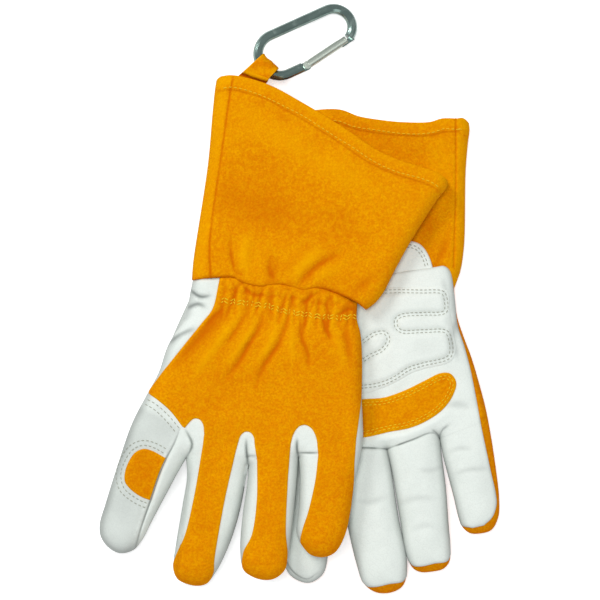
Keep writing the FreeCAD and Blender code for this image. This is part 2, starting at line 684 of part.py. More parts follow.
for glove in ("left", "right"):
    make_hand(glove)
    for digit in FINGERS:
        make_finger(glove, digit)
    make_index_patch(glove)
    make_cuff(glove)
    make_overlays(glove)
make_thumb("left", "0", LEFT_THUMB_FLOOR)
make_thumb("right", f"({S}thumb_width / 2 * tan(({S}thumb_splay + {S}thumb_edge_lean) * 1deg))",
           "0")
clip = make_clip_body()
finish_clip_body(clip)
make_gate()
make_spring()
make_loop()
doc.recompute()

# ---------------------------------------------------------------- placement

Z_AXIS = V(0, 0, 1)


def turned(point, degrees, axis=Z_AXIS):
    return FreeCAD.Placement(point, FreeCAD.Rotation(axis, degrees))


def formula(text):
    return float(sheet.evalExpression(text))


def hand_frame(side):
    origin = V(size(f"{side}_wrist_x"), size(f"{side}_wrist_y"), 0)
    return turned(origin, size(f"{side}_hand_turn"))


def cuff_frame(side):
    origin = V(size(f"{side}_wrist_x"), size(f"{side}_wrist_y"), 0)
    return turned(origin, size(f"{side}_cuff_turn"))


def finger_frame(side, finger):
    """The finger's place: its root line on the hand, less the joint's gap, and its droop
    about the upper end of its root."""
    root = turned(V(size(f"{finger}_root"), -size(f"{finger}_depth"), 0),
                  -size(f"{side}_{finger}_splay"))
    droop = 0.0
    if side == "left" and finger in ("index", "middle"):
        droop = size(f"{finger}_droop")
    top = formula(LEFT_BACK) if side == "left" else size("hand_height")
    held = side == "right" and finger in ("index", "middle")
    gap = size("seam_gap") if held else size("joint_gap")
    back_off = -gap - size("hand_height") * math.sin(math.radians(droop))
    pivot = V(0, 0, top)
    dip = turned(V(0, back_off, 0) + pivot, droop, V(1, 0, 0)) * turned(-pivot, 0)
    return hand_frame(side) * root * dip


HAND_NODES = ("palm", "back", "wrist_elastic", "palm_pad", "thumb_tongue", "knuckle_patch")
CUFF_NODES = ("cuff_palm", "cuff_back", "cuff_tab")
frames = {}
for glove in ("left", "right"):
    for name in HAND_NODES:
        frames[f"{glove}_{name}"] = hand_frame(glove)
    for name in CUFF_NODES:
        frames[f"{glove}_{name}"] = cuff_frame(glove)
    for digit in FINGERS:
        for name in ("stall", "back"):
            frames[f"{glove}_{digit}_{name}"] = finger_frame(glove, digit)
    frames[f"{glove}_index_patch"] = finger_frame(glove, "index")
right_root = V(-size("right_thumb_x"), -size("right_thumb_y"), 0)
left_root = V(-size("left_thumb_x"), -size("left_thumb_y"), 0)
frames["right_thumb"] = hand_frame("right") * turned(right_root, -size("thumb_splay"))
frames["left_thumb"] = hand_frame("left") * turned(left_root, -size("thumb_fold"))

# The strap loop leaves the cuff's mouth near its thumb-side corner. The carabiner hangs
# in it by its large bend and dips until its far end rests on the ground.
strap_turn = size("strap_turn")
eye_outer = size("strap_eye") / 2 + size("strap_thickness")
eye_height = (formula(CUFF_FLOOR) + size("cuff_leather")
              - eye_outer + 2 * size("strap_thickness"))
mouth_point = cuff_frame("left").multVec(
    V(-size("cuff_mouth_width") * size("strap_place"),
      size("cuff_length") + size("cuff_crest"), 0))
outward = V(math.cos(math.radians(strap_turn)), math.sin(math.radians(strap_turn)), 0)
eye = mouth_point + outward * size("strap_reach")
eye.z = eye_height
frames["hang_loop"] = turned(eye, strap_turn)

clip_turn = size("clip_turn")
bend_radius = formula(SPINE)
held = math.radians(strap_turn + 180 - clip_turn)
held_point = V(-size("clip_spine") / 2 + bend_radius * math.cos(held),
               bend_radius * math.sin(held), 0)
far_way = V(math.cos(held + math.pi), math.sin(held + math.pi), 0)
far_bend = V(size("clip_spine") / 2, formula(NOSE_Y), 0)
far_reach = (far_bend - held_point).dot(far_way) + size("nose_bend")
dip = math.degrees(math.asin((eye_height - size("rod") / 2 - size("layer_gap")) / far_reach))
swing_axis = V(-outward.y, outward.x, 0)
clip_frame = turned(eye, dip, swing_axis) * turned(V(0, 0, 0), clip_turn) * turned(-held_point, 0)
gate_turn = math.degrees(math.atan2(formula(GATE_SIN), formula(GATE_COS)))
gate_frame = clip_frame * turned(V(formula(RIVET_X), -bend_radius, 0), gate_turn)
frames["carabiner_body"] = clip_frame
for name in ("carabiner_gate", "gate_rivet", "latch_pin", "gate_plunger", "gate_spring"):
    frames[name] = gate_frame

nodes = {}
for name, frame in frames.items():
    node = doc.getObject(name)
    node.Placement = frame
    nodes[name] = node
doc.recompute()

# The origin is the middle of the bottom of the pair's box.
boxes = [node.Shape.optimalBoundingBox(False, False) for node in nodes.values()]
shift = V(-(min(b.XMin for b in boxes) + max(b.XMax for b in boxes)) / 2,
          -(min(b.YMin for b in boxes) + max(b.YMax for b in boxes)) / 2,
          -min(b.ZMin for b in boxes))
for name, node in nodes.items():
    frames[name] = FreeCAD.Placement(shift, FreeCAD.Rotation()) * frames[name]
    node.Placement = frames[name]
doc.recompute()

# ---------------------------------------------------------------- checks and files

for item in doc.Objects:
    if "Invalid" in item.State or "Error" in item.State:
        raise RuntimeError(f"{item.Label}: {item.State}")
for name, node in nodes.items():
    if node.Shape.isNull() or not node.Shape.isValid() or len(node.Shape.Solids) < 1:
        raise RuntimeError(f"{name}: no valid solid")

os.makedirs("parts", exist_ok=True)
for name, node in nodes.items():
    node.Shape.exportStep(os.path.join("parts", f"{name}.step"))
print(f"{len(nodes)} nodes written")
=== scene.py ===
import json
import math

import bmesh
import bpy
import numpy as np
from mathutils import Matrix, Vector, noise
from mathutils.geometry import delaunay_2d_cdt


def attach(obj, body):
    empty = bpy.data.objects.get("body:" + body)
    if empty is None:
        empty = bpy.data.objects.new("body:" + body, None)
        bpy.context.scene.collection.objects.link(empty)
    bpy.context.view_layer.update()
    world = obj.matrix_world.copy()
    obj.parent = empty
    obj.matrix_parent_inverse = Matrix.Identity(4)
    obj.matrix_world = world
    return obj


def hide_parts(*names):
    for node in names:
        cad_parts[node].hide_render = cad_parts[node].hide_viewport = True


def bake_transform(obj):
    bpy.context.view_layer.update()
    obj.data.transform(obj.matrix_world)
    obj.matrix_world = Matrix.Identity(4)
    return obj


# A pair of leather gauntlet gloves, one on the other. All shapes are drawn in millimetres
# in frames that lie flat, one for each hand and each cuff. A hand's frame has its origin in
# the middle of the wrist, u towards the little finger and v towards the cuff. The palm-up
# glove ("right") lies under the palm-down one ("left").

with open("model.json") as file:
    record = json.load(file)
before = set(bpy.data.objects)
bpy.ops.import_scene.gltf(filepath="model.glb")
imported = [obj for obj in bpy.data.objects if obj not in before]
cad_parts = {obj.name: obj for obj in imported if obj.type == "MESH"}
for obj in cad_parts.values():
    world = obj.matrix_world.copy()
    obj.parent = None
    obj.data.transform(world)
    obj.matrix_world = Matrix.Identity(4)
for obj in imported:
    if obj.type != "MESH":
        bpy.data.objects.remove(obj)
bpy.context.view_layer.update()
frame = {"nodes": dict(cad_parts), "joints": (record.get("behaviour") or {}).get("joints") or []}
JOINTS = {joint["name"]: joint for joint in frame["joints"]}
# How far apart points lie: in a piece, along the rim of one sewn on, and along its creases.
STEP, RIM_STEP, LINE_STEP = ((1.3, 0.9, 1.2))

# ------------------------------------------------------------------ plane geometry


def turned_left(directions):
    """Directions in the plane, turned a quarter to their left."""
    directions = np.asarray(directions)
    return np.stack([-directions[..., 1], directions[..., 0]], axis=-1)


def unit(directions):
    return directions / np.maximum(np.linalg.norm(directions, axis=1), 1e-9)[:, None]


def place(origin, degrees):
    """A frame in the plane: its origin and its two directions."""
    a = math.radians(degrees)
    u = np.array([math.cos(a), math.sin(a)])
    return np.array(origin, float), np.stack([u, turned_left(u)])


def to_world(points, where):
    origin, axes = where
    return np.asarray(points, float) @ axes + origin


def closed(loop):
    return np.vstack([loop, loop[:1]])


def along(points):
    """Distance travelled at each point of a line."""
    steps = np.linalg.norm(np.diff(points, axis=0), axis=1)
    return np.concatenate([[0], np.cumsum(steps)])


def at(points, shares):
    """Points at shares of the line's length."""
    run = along(points)
    spots = np.asarray(shares) * run[-1]
    return np.stack([np.interp(spots, run, points[:, k]) for k in (0, 1)], axis=1)


def smooth(points, closed=False, steps=10):
    """A centripetal Catmull-Rom curve through the points."""
    p = np.asarray(points, float)
    if closed:
        p = np.vstack([p[-1], p, p[0], p[1]])
    else:
        p = np.vstack([2 * p[0] - p[1], p, 2 * p[-1] - p[-2]])
    out = []
    for a, b, c, d in zip(p, p[1:], p[2:], p[3:]):
        t0, t1 = 0.0, max(np.linalg.norm(b - a), 1e-6) ** 0.5
        t2 = t1 + max(np.linalg.norm(c - b), 1e-6) ** 0.5
        t3 = t2 + max(np.linalg.norm(d - c), 1e-6) ** 0.5
        t = np.linspace(t1, t2, steps, endpoint=False)[:, None]

        def between(first, last, start, end):
            return ((end - t) * first + (t - start) * last) / (end - start)

        ab, bc, cd = between(a, b, t0, t1), between(b, c, t1, t2), between(c, d, t2, t3)
        out.append(between(between(ab, bc, t0, t2), between(bc, cd, t1, t3), t1, t2))
    out.append(p[-2][None])
    return np.vstack(out)


def distance(points, line):
    """Distance from each point to a line of straight runs."""
    return distance_to(points, zip(line, line[1:]))


def distance_to(points, runs):
    """Distance from each point to the nearest of some straight runs."""
    best = np.full(len(points), 1e9)
    for a, b in runs:
        run = b - a
        share = np.clip((points - a) @ run / max(run @ run, 1e-12), 0, 1)
        best = np.minimum(best, ((points - a - share[:, None] * run) ** 2).sum(1))
    return np.sqrt(best)


def bell(x):
    return np.exp(-x * x)


def step_up(x, low, high):
    """0 below low, 1 above high, and smooth between them."""
    t = np.clip((x - low) / (high - low), 0, 1)
    return t * t * (3 - 2 * t)


def rounded(depth, reach, power=2.2):
    """The side of a soft roll: 0 at its edge, 1 from reach inwards."""
    q = np.clip(depth / reach, 0, 1)
    return (1 - (1 - q) ** power) ** (1 / power)


def rough(points, size, seed=0.0):
    """Slow random unevenness between -1 and 1."""
    return np.array([noise.noise(Vector((x / size, y / size, seed))) for x, y in points])


def project(points, line):
    """Distance from each point to a line, and the share of the line's length it lies at."""
    best, place_on = np.full(len(points), 1e9), np.zeros(len(points))
    run = along(line)
    for k, (a, b) in enumerate(zip(line, line[1:])):
        step = b - a
        share = np.clip((points - a) @ step / max(step @ step, 1e-12), 0, 1)
        gap = ((points - a - share[:, None] * step) ** 2).sum(1)
        near = gap < best
        best[near] = gap[near]
        place_on[near] = (run[k] + share[near] * (run[k + 1] - run[k])) / run[-1]
    return np.sqrt(best), place_on


def inside(points, loop):
    """Which points lie inside a closed loop."""
    x, y = points[:, 0], points[:, 1]
    result = np.zeros(len(points), bool)
    for (ax, ay), (bx, by) in zip(loop, np.roll(loop, -1, axis=0)):
        crosses = (ay > y) != (by > y)
        if ay != by:
            result ^= crosses & (x < (bx - ax) * (y - ay) / (by - ay) + ax)
    return result


def even(line, step):
    """The same line with its points step apart, its corners kept."""
    out = [line[0]]
    for a, b in zip(line, line[1:]):
        length = np.linalg.norm(b - a)
        count = max(1, int(round(length / step)))
        out += [a + (b - a) * k / count for k in range(1, count + 1)]
    return np.array(out)


def thin(line, step):
    """A smooth line with points about step apart."""
    count = max(2, int(round(along(line)[-1] / step)))
    return at(line, np.linspace(0, 1, count + 1))


def beside(line, gap):
    """A line moved to its left by gap."""
    return line + turned_left(unit(np.gradient(line, axis=0))) * gap


def inward(loop):
    """The direction into a loop at each of its points."""
    following = np.roll(loop, -1, axis=0)
    area = np.sum(loop[:, 0] * following[:, 1] - loop[:, 1] * following[:, 0])
    return turned_left(unit(following - np.roll(loop, 1, axis=0))) * (1 if area > 0 else -1)


def inset(loop, gap, clear=0.9):
    """A loop's points moved inwards, where they stay clear of its other sides."""
    moved = loop + inward(loop) * gap
    return moved[inside(moved, loop) & (distance(moved, closed(loop)) > gap * clear)]


def upto(line, start, end):
    """The part of a line between its points nearest to start and end."""
    a, b = (int(np.argmin(np.linalg.norm(line - np.array(spot, float), axis=1))) for spot in (start, end))
    return line[a:b + 1]


def joined(*parts):
    """A loop from several lines, without doubled points."""
    loop = np.vstack([np.atleast_2d(np.asarray(part, float)) for part in parts])
    return loop[np.linalg.norm(loop - np.roll(loop, 1, axis=0), axis=1) > 0.05]


# ------------------------------------------------------------------ cloth forms

# In millimetres, where nothing else is said.
SLIVER = 0.004  # a triangle less high than this is dropped
ROWS_APART = 0.866  # rows of even triangles lie this share of their step apart
CREASE_CLEAR = 1.7  # how far the even points stay from a crease
WELD_WITHIN = 0.03  # points of two faces nearer than this become one
SLOPE_STEP = 0.15  # over what distance a surface's slope is measured
SEAM_AT = 0.42  # where a form's side seam lies, as a share of its height
UNDER_ROLL = 4.5  # how far in from its edge a hand's underside is flat
EDGE_SHADE, EDGE_WIDE = 0.42, 5.5  # how much painted shade darkens a hand's edge, and over what width
DEEPEST = 2.4  # how deep creases go and how high ridges rise, at most
CREASE_ROWS = (-1.1, -0.45, 0.0, 0.45, 1.1)  # where rows of points run beside a crease
SHEET_SINK = 0.05  # how far a piece sewn on sinks into what it lies on, so that no gap shows
CUFF_LEATHER = 0.0018  # the thickness of a cuff's suede in metres
STITCH_RING = 5  # points round a stitch
# Along a stitch: the share of its length, of its width, and its rise in widths.
STITCH_FORM = ((0.0, 0.25, -0.25), (0.14, 0.85, 0.0), (0.5, 1.0, 0.12), (0.86, 0.85, 0.0), (1.0, 0.25, -0.25))


def fill(loop, step, rings=(0.35, 1.0, 2.0, 3.4), lines=()):
    """Points and triangles that fill a loop, close together near its edge and by some lines."""
    edge, (low, high) = closed(loop), (loop.min(0), loop.max(0))
    extra = [inset(loop, ring, 0.93) for ring in rings]
    grid = []
    for k, row in enumerate(np.arange(low[1], high[1], step * ROWS_APART)):
        across = np.arange(low[0] + (k % 2) * step / 2, high[0], step)
        grid.append(np.column_stack([across, np.full(len(across), row)]))
    grid = np.vstack(grid)
    grid = grid[inside(grid, loop)]
    grid = grid[distance(grid, edge) > rings[-1] + step * 0.55]
    for line in lines:
        line = thin(np.asarray(line), LINE_STEP)
        grid = grid[distance(grid, line) > CREASE_CLEAR]
        for gap in CREASE_ROWS:
            row = beside(line, gap)
            row = row[inside(row, loop)]
            extra.append(row[distance(row, edge) > 0.8])
    points = np.vstack([loop, *extra, grid])
    sides = [(k, (k + 1) % len(loop)) for k in range(len(loop))]
    made = delaunay_2d_cdt([Vector(p) for p in points], sides, [], 0, 1e-6)
    where = np.array([tuple(v) for v in made[0]])
    faces = np.array([f for f in made[2] if len(f) == 3])
    faces = faces[inside(where[faces].mean(axis=1), loop)]
    a, b, c = where[faces].transpose(1, 0, 2)
    turn = (b[:, 0] - a[:, 0]) * (c[:, 1] - a[:, 1]) - (b[:, 1] - a[:, 1]) * (c[:, 0] - a[:, 0])
    longest = np.max([np.linalg.norm(p - q, axis=1) for p, q in ((a, b), (b, c), (c, a))], axis=0)
    faces[turn < 0] = faces[turn < 0][:, ::-1]
    return where, faces[np.abs(turn) > SLIVER * longest]


def mesh_object(name, points, faces, material, tone):
    """An object from points in millimetres in the shared frame. Its tone is below 0 in folds and
    other places of painted shade, and above 0 on ridges, as a painted highlight, and along lighter rims."""
    mesh = bpy.data.meshes.new(name)
    mesh.from_pydata((np.asarray(points) / 1000).tolist(), [], [list(map(int, f)) for f in faces])
    values = mesh.attributes.new("tone", "FLOAT", "POINT")
    values.data.foreach_set("value", np.asarray(tone, np.float32))
    mesh.shade_smooth()
    mesh.materials.append(material)
    obj = bpy.data.objects.new(name, mesh)
    bpy.context.collection.objects.link(obj)
    return obj


def weld(obj):
    """Joins points that lie on each other."""
    form = bmesh.new()
    form.from_mesh(obj.data)
    bmesh.ops.remove_doubles(form, verts=form.verts, dist=WELD_WITHIN / 1000)
    form.to_mesh(obj.data)
    form.free()


class Form:
    """A soft form that lies flat: its edge in its own frame and its heights over the floor."""

    def __init__(self, where, edge, top, bottom):
        self.where, self.edge, self.top, self.bottom = where, edge, top, bottom

    def skin(self, points, side=1):
        """Heights and tones of the top, or of the bottom where side is -1."""
        return self.top(points) if side > 0 else self.bottom(points)

    def height(self, points, side=1):
        return self.skin(points, side)[0]

    def normal(self, points, side=1):
        """The outward direction of the surface."""
        e = SLOPE_STEP
        dx, dy = ((self.height(points + d, side) - self.height(points - d, side)) / (2 * e)
                  for d in ([e, 0], [0, e]))
        return unit(np.stack([-dx, -dy, np.ones(len(points))], axis=1) * side)

    def world(self, points, height):
        return np.column_stack([to_world(points, self.where), height])

    def world_normal(self, out):
        return np.column_stack([out[:, :2] @ self.where[1], out[:, 2]])


def under(form, loop, drop):
    """The same form, sunk a little where a piece is sewn over it."""
    def top(points):
        height, tone = form.top(points)
        covered = inside(points, loop) * step_up(distance(points, closed(loop)), 0.3, 1.8)
        return height - drop * covered, tone

    return Form(form.where, form.edge, top, form.bottom)


def pillow(name, form, loop, material, step=STEP + 0.3, lines=()):
    """Both faces of a form inside a loop, joined where its edge is."""
    points, faces = fill(even(closed(loop), STEP)[:-1], step, lines=lines)
    (top, top_tone), (bottom, bottom_tone) = form.top(points), form.bottom(points)
    both = np.vstack([form.world(points, top), form.world(points, bottom)])
    obj = mesh_object(name, both, np.vstack([faces, faces[:, ::-1] + len(points)]), material,
                      np.concatenate([top_tone, bottom_tone]))
    weld(obj)
    return obj


def overlay(name, form, loop, material, thick=1.1, side=1, roll=1.1, puff=None, joins=(), lines=(),
            rim_tone=0.5):
    """A flat piece sewn on a form: it follows the surface, thick above it, with rolled edges
    except along its joins, where another piece carries on."""
    points, faces = fill(even(closed(loop), RIM_STEP)[:-1], STEP, rings=(0.25, 0.6, 1.1, 2.0), lines=lines)
    line = closed(loop)
    runs = list(zip(line, line[1:]))
    for a, b in joins:
        ends = np.array([a, b], float)
        runs = [run for run in runs if distance(np.array(run), ends).max() > 0.05]
    depth = distance_to(points, runs)
    lift = thick * rounded(depth, roll, 2.0) - SHEET_SINK
    if puff is not None:
        lift = lift + puff(points)
    base, tone = form.skin(points, side)
    out = form.world_normal(form.normal(points, side))
    out[:, :2] *= (1 - 0.85 * step_up(distance(points, form.edge), 4, 9))[:, None]
    out = unit(out)
    surface = form.world(points, base) + out * lift[:, None]
    rim = np.where(distance(points, line) < 1e-4)[0]
    skirt = form.world(points[rim], base[rim]) - out[rim] * 0.5
    lower = {int(r): len(points) + k for k, r in enumerate(rim)}
    edges = dict.fromkeys((int(f[k]), int(f[(k + 1) % 3])) for f in faces for k in range(3))
    every = [list(f) for f in faces]
    for a, b in edges:
        if (b, a) not in edges and a in lower and b in lower:
            every += [[b, a, lower[a]], [b, lower[a], lower[b]]]
    if side < 0:
        every = [f[::-1] for f in every]
    # The piece keeps the form's tone, with its painted shade and highlight; its rim is lighter by rim_tone,
    # or carries painted shade where rim_tone is below 0.
    tone = np.clip(tone + rim_tone * (1 - step_up(depth, 0.2, 2.4)), -1, 1)
    return mesh_object(name, np.vstack([surface, skirt]), every, material, np.concatenate([tone, tone[rim]]))


def stitches(name, form, line, material, long, gap, wide, side=1, lift=0.25, zigzag=0.0):
    """A row of real stitches along a line on a form."""
    run = along(line)
    count = max(1, int(run[-1] // (long + gap)))
    starts = (np.arange(count) + 0.5) * (run[-1] / count)
    centres = at(line, starts / run[-1])
    back, fore = (at(line, np.clip((starts + step) / run[-1], 0, 1)) for step in (-0.4, 0.4))
    ahead = unit(fore - back)
    if zigzag:
        turn = np.where(np.arange(count) % 2 == 0, zigzag, -zigzag)
        c, s = np.cos(np.radians(turn)), np.sin(np.radians(turn))
        ahead = np.column_stack([c * ahead[:, 0] - s * ahead[:, 1], s * ahead[:, 0] + c * ahead[:, 1]])
    half = ahead * (long / 2)
    first_end, last_end = centres - half, centres + half
    spots = [first_end + (last_end - first_end) * share for share, size, rise in STITCH_FORM]
    bases = [form.world(p, form.height(p, side)) for p in spots]
    outs = [form.world_normal(form.normal(p, side)) for p in spots]
    forward = np.column_stack([ahead @ form.where[1], np.zeros(count)])
    verts, faces, ring = [], [], STITCH_RING
    for k in range(count):
        first = len(verts)
        for (share, size, rise), base, out in zip(STITCH_FORM, bases, outs):
            sideways = np.cross(forward[k], out[k])
            sideways /= np.linalg.norm(sideways)
            centre = base[k] + out[k] * (lift + rise * wide)
            for j in range(ring):
                a = 2 * math.pi * j / ring + 0.3
                round_it = sideways * math.cos(a) + out[k] * math.sin(a) * 0.75
                verts.append(centre + round_it * wide * 0.5 * size)
        last = len(verts) - ring
        faces += tube_sides(first, last, ring)
        faces += [list(range(first, first + ring))[::-1], list(range(last, last + ring))]
    return mesh_object(name, verts, faces, material, np.zeros(len(verts)))


def tube_sides(first, last, ring):
    """The faces between rings of points, from the ring at first to the ring at last."""
    return [[start + j, start + (j + 1) % ring, start + (j + 1) % ring + ring, start + j + ring]
            for start in range(first, last, ring) for j in range(ring)]


# ------------------------------------------------------------------ materials


def colour(red, green, blue):
    """A shader colour from a screen colour."""
    def linear(c):
        c /= 255
        return c / 12.92 if c <= 0.04045 else ((c + 0.055) / 1.055) ** 2.4
    return (linear(red), linear(green), linear(blue), 1.0)


class Shader:
    """A small helper that adds nodes to a new material."""

    def __init__(self, name):
        self.material = bpy.data.materials.new(name)
        self.material.use_nodes = True
        self.tree = self.material.node_tree
        self.surface = self.tree.nodes["Principled BSDF"]
        self.place = self.add("ShaderNodeTexCoord").outputs["Object"]

    def feed(self, node, values):
        """Sets a node's inputs, or links them where the value is another node's output."""
        for key, value in values.items():
            if isinstance(value, bpy.types.NodeSocket):
                self.tree.links.new(value, node.inputs[key])
            else:
                node.inputs[key].default_value = value
        return node

    def add(self, kind, values=None, **settings):
        node = self.tree.nodes.new(kind)
        for key, value in settings.items():
            setattr(node, key, value)
        return self.feed(node, values or {})

    def noise(self, scale, detail=3.0, rough=0.55, twist=0.0):
        return self.add("ShaderNodeTexNoise", {"Vector": self.place, "Scale": scale, "Detail": detail,
                                               "Roughness": rough, "Distortion": twist}).outputs["Fac"]

    def cells(self, scale, feature="F1"):
        return self.add("ShaderNodeTexVoronoi", {"Vector": self.place, "Scale": scale},
                        feature=feature).outputs["Distance"]

    def spread(self, value, low, high, first=0.0, last=1.0):
        return self.add("ShaderNodeMapRange", {"Value": value, "From Min": low, "From Max": high,
                                               "To Min": first, "To Max": last}).outputs["Result"]

    def mix(self, share, first, second):
        return self.add("ShaderNodeMix", {0: share, 6: first, 7: second}, data_type="RGBA").outputs[2]

    def maths(self, operation, first, second):
        return self.add("ShaderNodeMath", {0: first, 1: second}, operation=operation).outputs[0]

    def toned(self, shade, dark, light, lightest):
        """A shade made darker or lighter by the mesh's tone, which carries painted shade and painted
        highlight besides other changes of colour.
        """
        tone = self.add("ShaderNodeAttribute", attribute_name="tone").outputs["Fac"]
        shade = self.mix(self.spread(tone, 0.0, -1.0, 0.0, 0.95), shade, dark)
        return self.mix(self.spread(tone, 0.0, 1.0, 0.0, lightest), shade, light)

    def bump(self, height, strength, depth, **normal):
        return self.add("ShaderNodeBump", {"Height": height, "Strength": strength, "Distance": depth,
                                           **normal}).outputs["Normal"]

    def finish(self, **values):
        self.feed(self.surface, {key.replace("_", " "): value for key, value in values.items()})
        return self.material


def suede(name, base, dark, light):
    """Split leather with a brushed nap: mottled, darker in folds, where shade is painted, and lighter along
    cut edges and on ridges, where a highlight is painted.
    """
    s = Shader(name)
    blotch = s.spread(s.noise(30, 3, 0.6, 0.3), 0.36, 0.66)
    mottle = s.spread(s.noise(260, 4, 0.7, 0.6), 0.4, 0.6)
    nap = s.spread(s.noise(700, 4, 0.75), 0.4, 0.6)
    fibre = s.noise(2600, 3, 0.7)
    shade = s.mix(s.maths("MULTIPLY", blotch, 0.3), base, dark)
    shade = s.mix(s.maths("MULTIPLY", mottle, 0.55), shade, light)
    shade = s.mix(s.maths("MULTIPLY", nap, 0.52), shade, dark)
    shade = s.toned(shade, dark, light, 0.85)
    rough = s.bump(s.noise(420, 4, 0.6), 0.4, 0.0005)
    fine = s.bump(fibre, 0.55, 0.0002, Normal=s.bump(nap, 0.35, 0.0003, Normal=rough))
    return s.finish(Base_Color=shade, Roughness=s.spread(nap, 0, 1, 0.88, 0.98), Normal=fine,
                    Specular_IOR_Level=0.03, Sheen_Weight=0.12, Sheen_Roughness=0.5,
                    Sheen_Tint=light)


def grain(name, base, dark, light):
    """Smooth-side leather: pebbled grain, fine creases, greyer in its folds and along its edges, where shade
    is painted, and lighter on ridges, where a highlight is painted.
    """
    s = Shader(name)
    blotch = s.spread(s.noise(24, 4, 0.55, 0.3), 0.35, 0.7)
    pebble = s.cells(1100)
    crease = s.cells(260, "DISTANCE_TO_EDGE")
    shade = s.mix(s.maths("MULTIPLY", blotch, 0.4), base, light)
    shade = s.mix(s.spread(pebble, 0.0, 0.6, 0.09, 0.0), shade, dark)
    shade = s.mix(s.spread(crease, 0.0, 0.05, 0.05, 0.0), shade, dark)
    shade = s.toned(shade, dark, light, 0.6)
    coarse = s.bump(s.spread(crease, 0.0, 0.12), 0.1, 0.0004)
    fine = s.bump(pebble, 0.1, 0.0002, Normal=coarse)
    slow = s.bump(s.noise(90, 3, 0.5), 0.22, 0.0014, Normal=fine)
    return s.finish(Base_Color=shade, Roughness=s.spread(blotch, 0, 1, 0.48, 0.56), Normal=slow,
                    Specular_IOR_Level=0.3)


def thread(name, base, dark):
    """Twisted sewing thread."""
    s = Shader(name)
    twist = s.add("ShaderNodeTexWave", {"Vector": s.place, "Scale": 900.0, "Distortion": 1.5})
    shade = s.mix(s.spread(twist.outputs["Fac"], 0, 1, 0.0, 0.5), base, dark)
    return s.finish(Base_Color=shade, Roughness=0.6, Specular_IOR_Level=0.3,
                    Normal=s.bump(twist.outputs["Fac"], 0.4, 0.0002))


def anodised(name, base, dark, light):
    """Coloured aluminium with a fine blasted skin, a little lighter in some random patches and darker in
    others.
    """
    s = Shader(name)
    patches = s.spread(s.noise(160, 5, 0.6), 0.56, 0.74)
    shade = s.mix(s.maths("MULTIPLY", patches, 0.45), base, light)
    shade = s.mix(s.spread(s.noise(60, 2), 0.4, 0.7, 0.0, 0.35), shade, dark)
    return s.finish(Base_Color=shade, Metallic=0.92, Roughness=s.spread(patches, 0, 1, 0.17, 0.27),
                    Normal=s.bump(s.noise(2600, 2), 0.08, 0.0001), Coat_Weight=0.5,
                    Coat_Roughness=0.14)


def steel(name, base, roughness):
    """Bare metal with fine drawn lines."""
    s = Shader(name)
    lines = s.noise(1500, 3, 0.5, 2.0)
    shade = s.mix(s.spread(lines, 0.35, 0.7, 0.0, 0.25), base, colour(120, 128, 126))
    rough = s.spread(lines, 0.3, 0.7, roughness, roughness + 0.12)
    return s.finish(Base_Color=shade, Metallic=0.9, Roughness=rough, Normal=s.bump(lines, 0.06, 0.0001))


ORANGE = suede("orange_suede", colour(238, 152, 0), colour(206, 102, 0), colour(243, 174, 0))
WHITE = grain("white_leather", colour(228, 235, 228), colour(124, 130, 126), colour(242, 248, 242))
YELLOW = thread("yellow_thread", colour(255, 222, 30), colour(232, 176, 0))
PALE = thread("pale_thread", colour(252, 206, 30), colour(226, 164, 10))
GREY = thread("grey_thread", colour(178, 180, 164), colour(138, 140, 126))
ROD = anodised("anodised_rod", colour(146, 170, 162), colour(80, 102, 96), colour(214, 230, 222))
GATE = steel("polished_gate", colour(216, 226, 212), 0.24)
SPRING = steel("spring_steel", colour(150, 152, 148), 0.3)

# ------------------------------------------------------------------ frames and forms

WRISTS_APART = 63.4
LEFT_WRIST = np.array(JOINTS["left_wrist_bend"]["pos_m"][:2]) * 1000
RIGHT_WRIST = LEFT_WRIST + (WRISTS_APART, 0)
# How far each hand and each cuff is turned, in degrees.
LEFT_TURN, RIGHT_TURN, LEFT_CUFF_TURN, RIGHT_CUFF_TURN = -8, 8, -19.3, 9
LEFT_HAND, LEFT_CUFF = place(LEFT_WRIST, LEFT_TURN), place(LEFT_WRIST, LEFT_CUFF_TURN)
RIGHT_HAND, RIGHT_CUFF = place(RIGHT_WRIST, RIGHT_TURN), place(RIGHT_WRIST, RIGHT_CUFF_TURN)
# Heights over the floor: of each hand's underside, its top, and the top under sewn-on pieces.
LEFT_LOW, LEFT_TOP = 19.0, 34.6
RIGHT_LOW, RIGHT_TOP, RIGHT_BASE_TOP = 0.2, 15.6, 14.8
# The middles of the fingers' roots, where they bend.
ROOTS = {"index": (-55.5, -77), "middle": (-21.2, -86), "ring": (13.2, -86), "little": (47.6, -78)}
# From where to where past its root a finger would bend, and at what height in metres it and the wrist would;
# these places are worked out but nothing bends.
LEFT_BEND, RIGHT_BEND = (3, 27), (8, 32)
LEFT_BEND_Z, RIGHT_BEND_Z, WRIST_BEND_Z = 0.035, 0.016, 0.0307

# Outlines of the hands, from the wrist round the fingers and back: the thumb's side first.
S1, S2, S3 = (-41.6, -108), (-1.4, -107), (29.4, -97)  # the slits between the fingers
L_OUTER = [(-52.5, 17), (-53.5, 0), (-55, -19), (-63, -38), (-66.5, -56), (-72, -71)]
L_INDEX = [(-79, -91), (-84.4, -118), (-89, -145), (-90.8, -158), (-89, -166), (-83, -172.3), (-75, -174.8),
           (-67, -171.4), (-62.2, -164), (-58, -152), (-50.4, -131), (-45.6, -118)]
L_MIDDLE = [(-39.4, -120), (-39.8, -138), (-40.6, -165), (-40.2, -178), (-36.4, -185.4), (-25, -188.2),
            (-17.4, -185.6), (-11.8, -176), (-5.6, -155), (-2.8, -136), (-1.9, -118)]
L_RING = [(-0.7, -118), (-0.7, -140), (1.0, -162), (4.6, -172.6), (14, -177.2), (24, -176.2), (30.4, -169.6),
          (31.8, -156), (31.4, -130), (30.2, -108)]
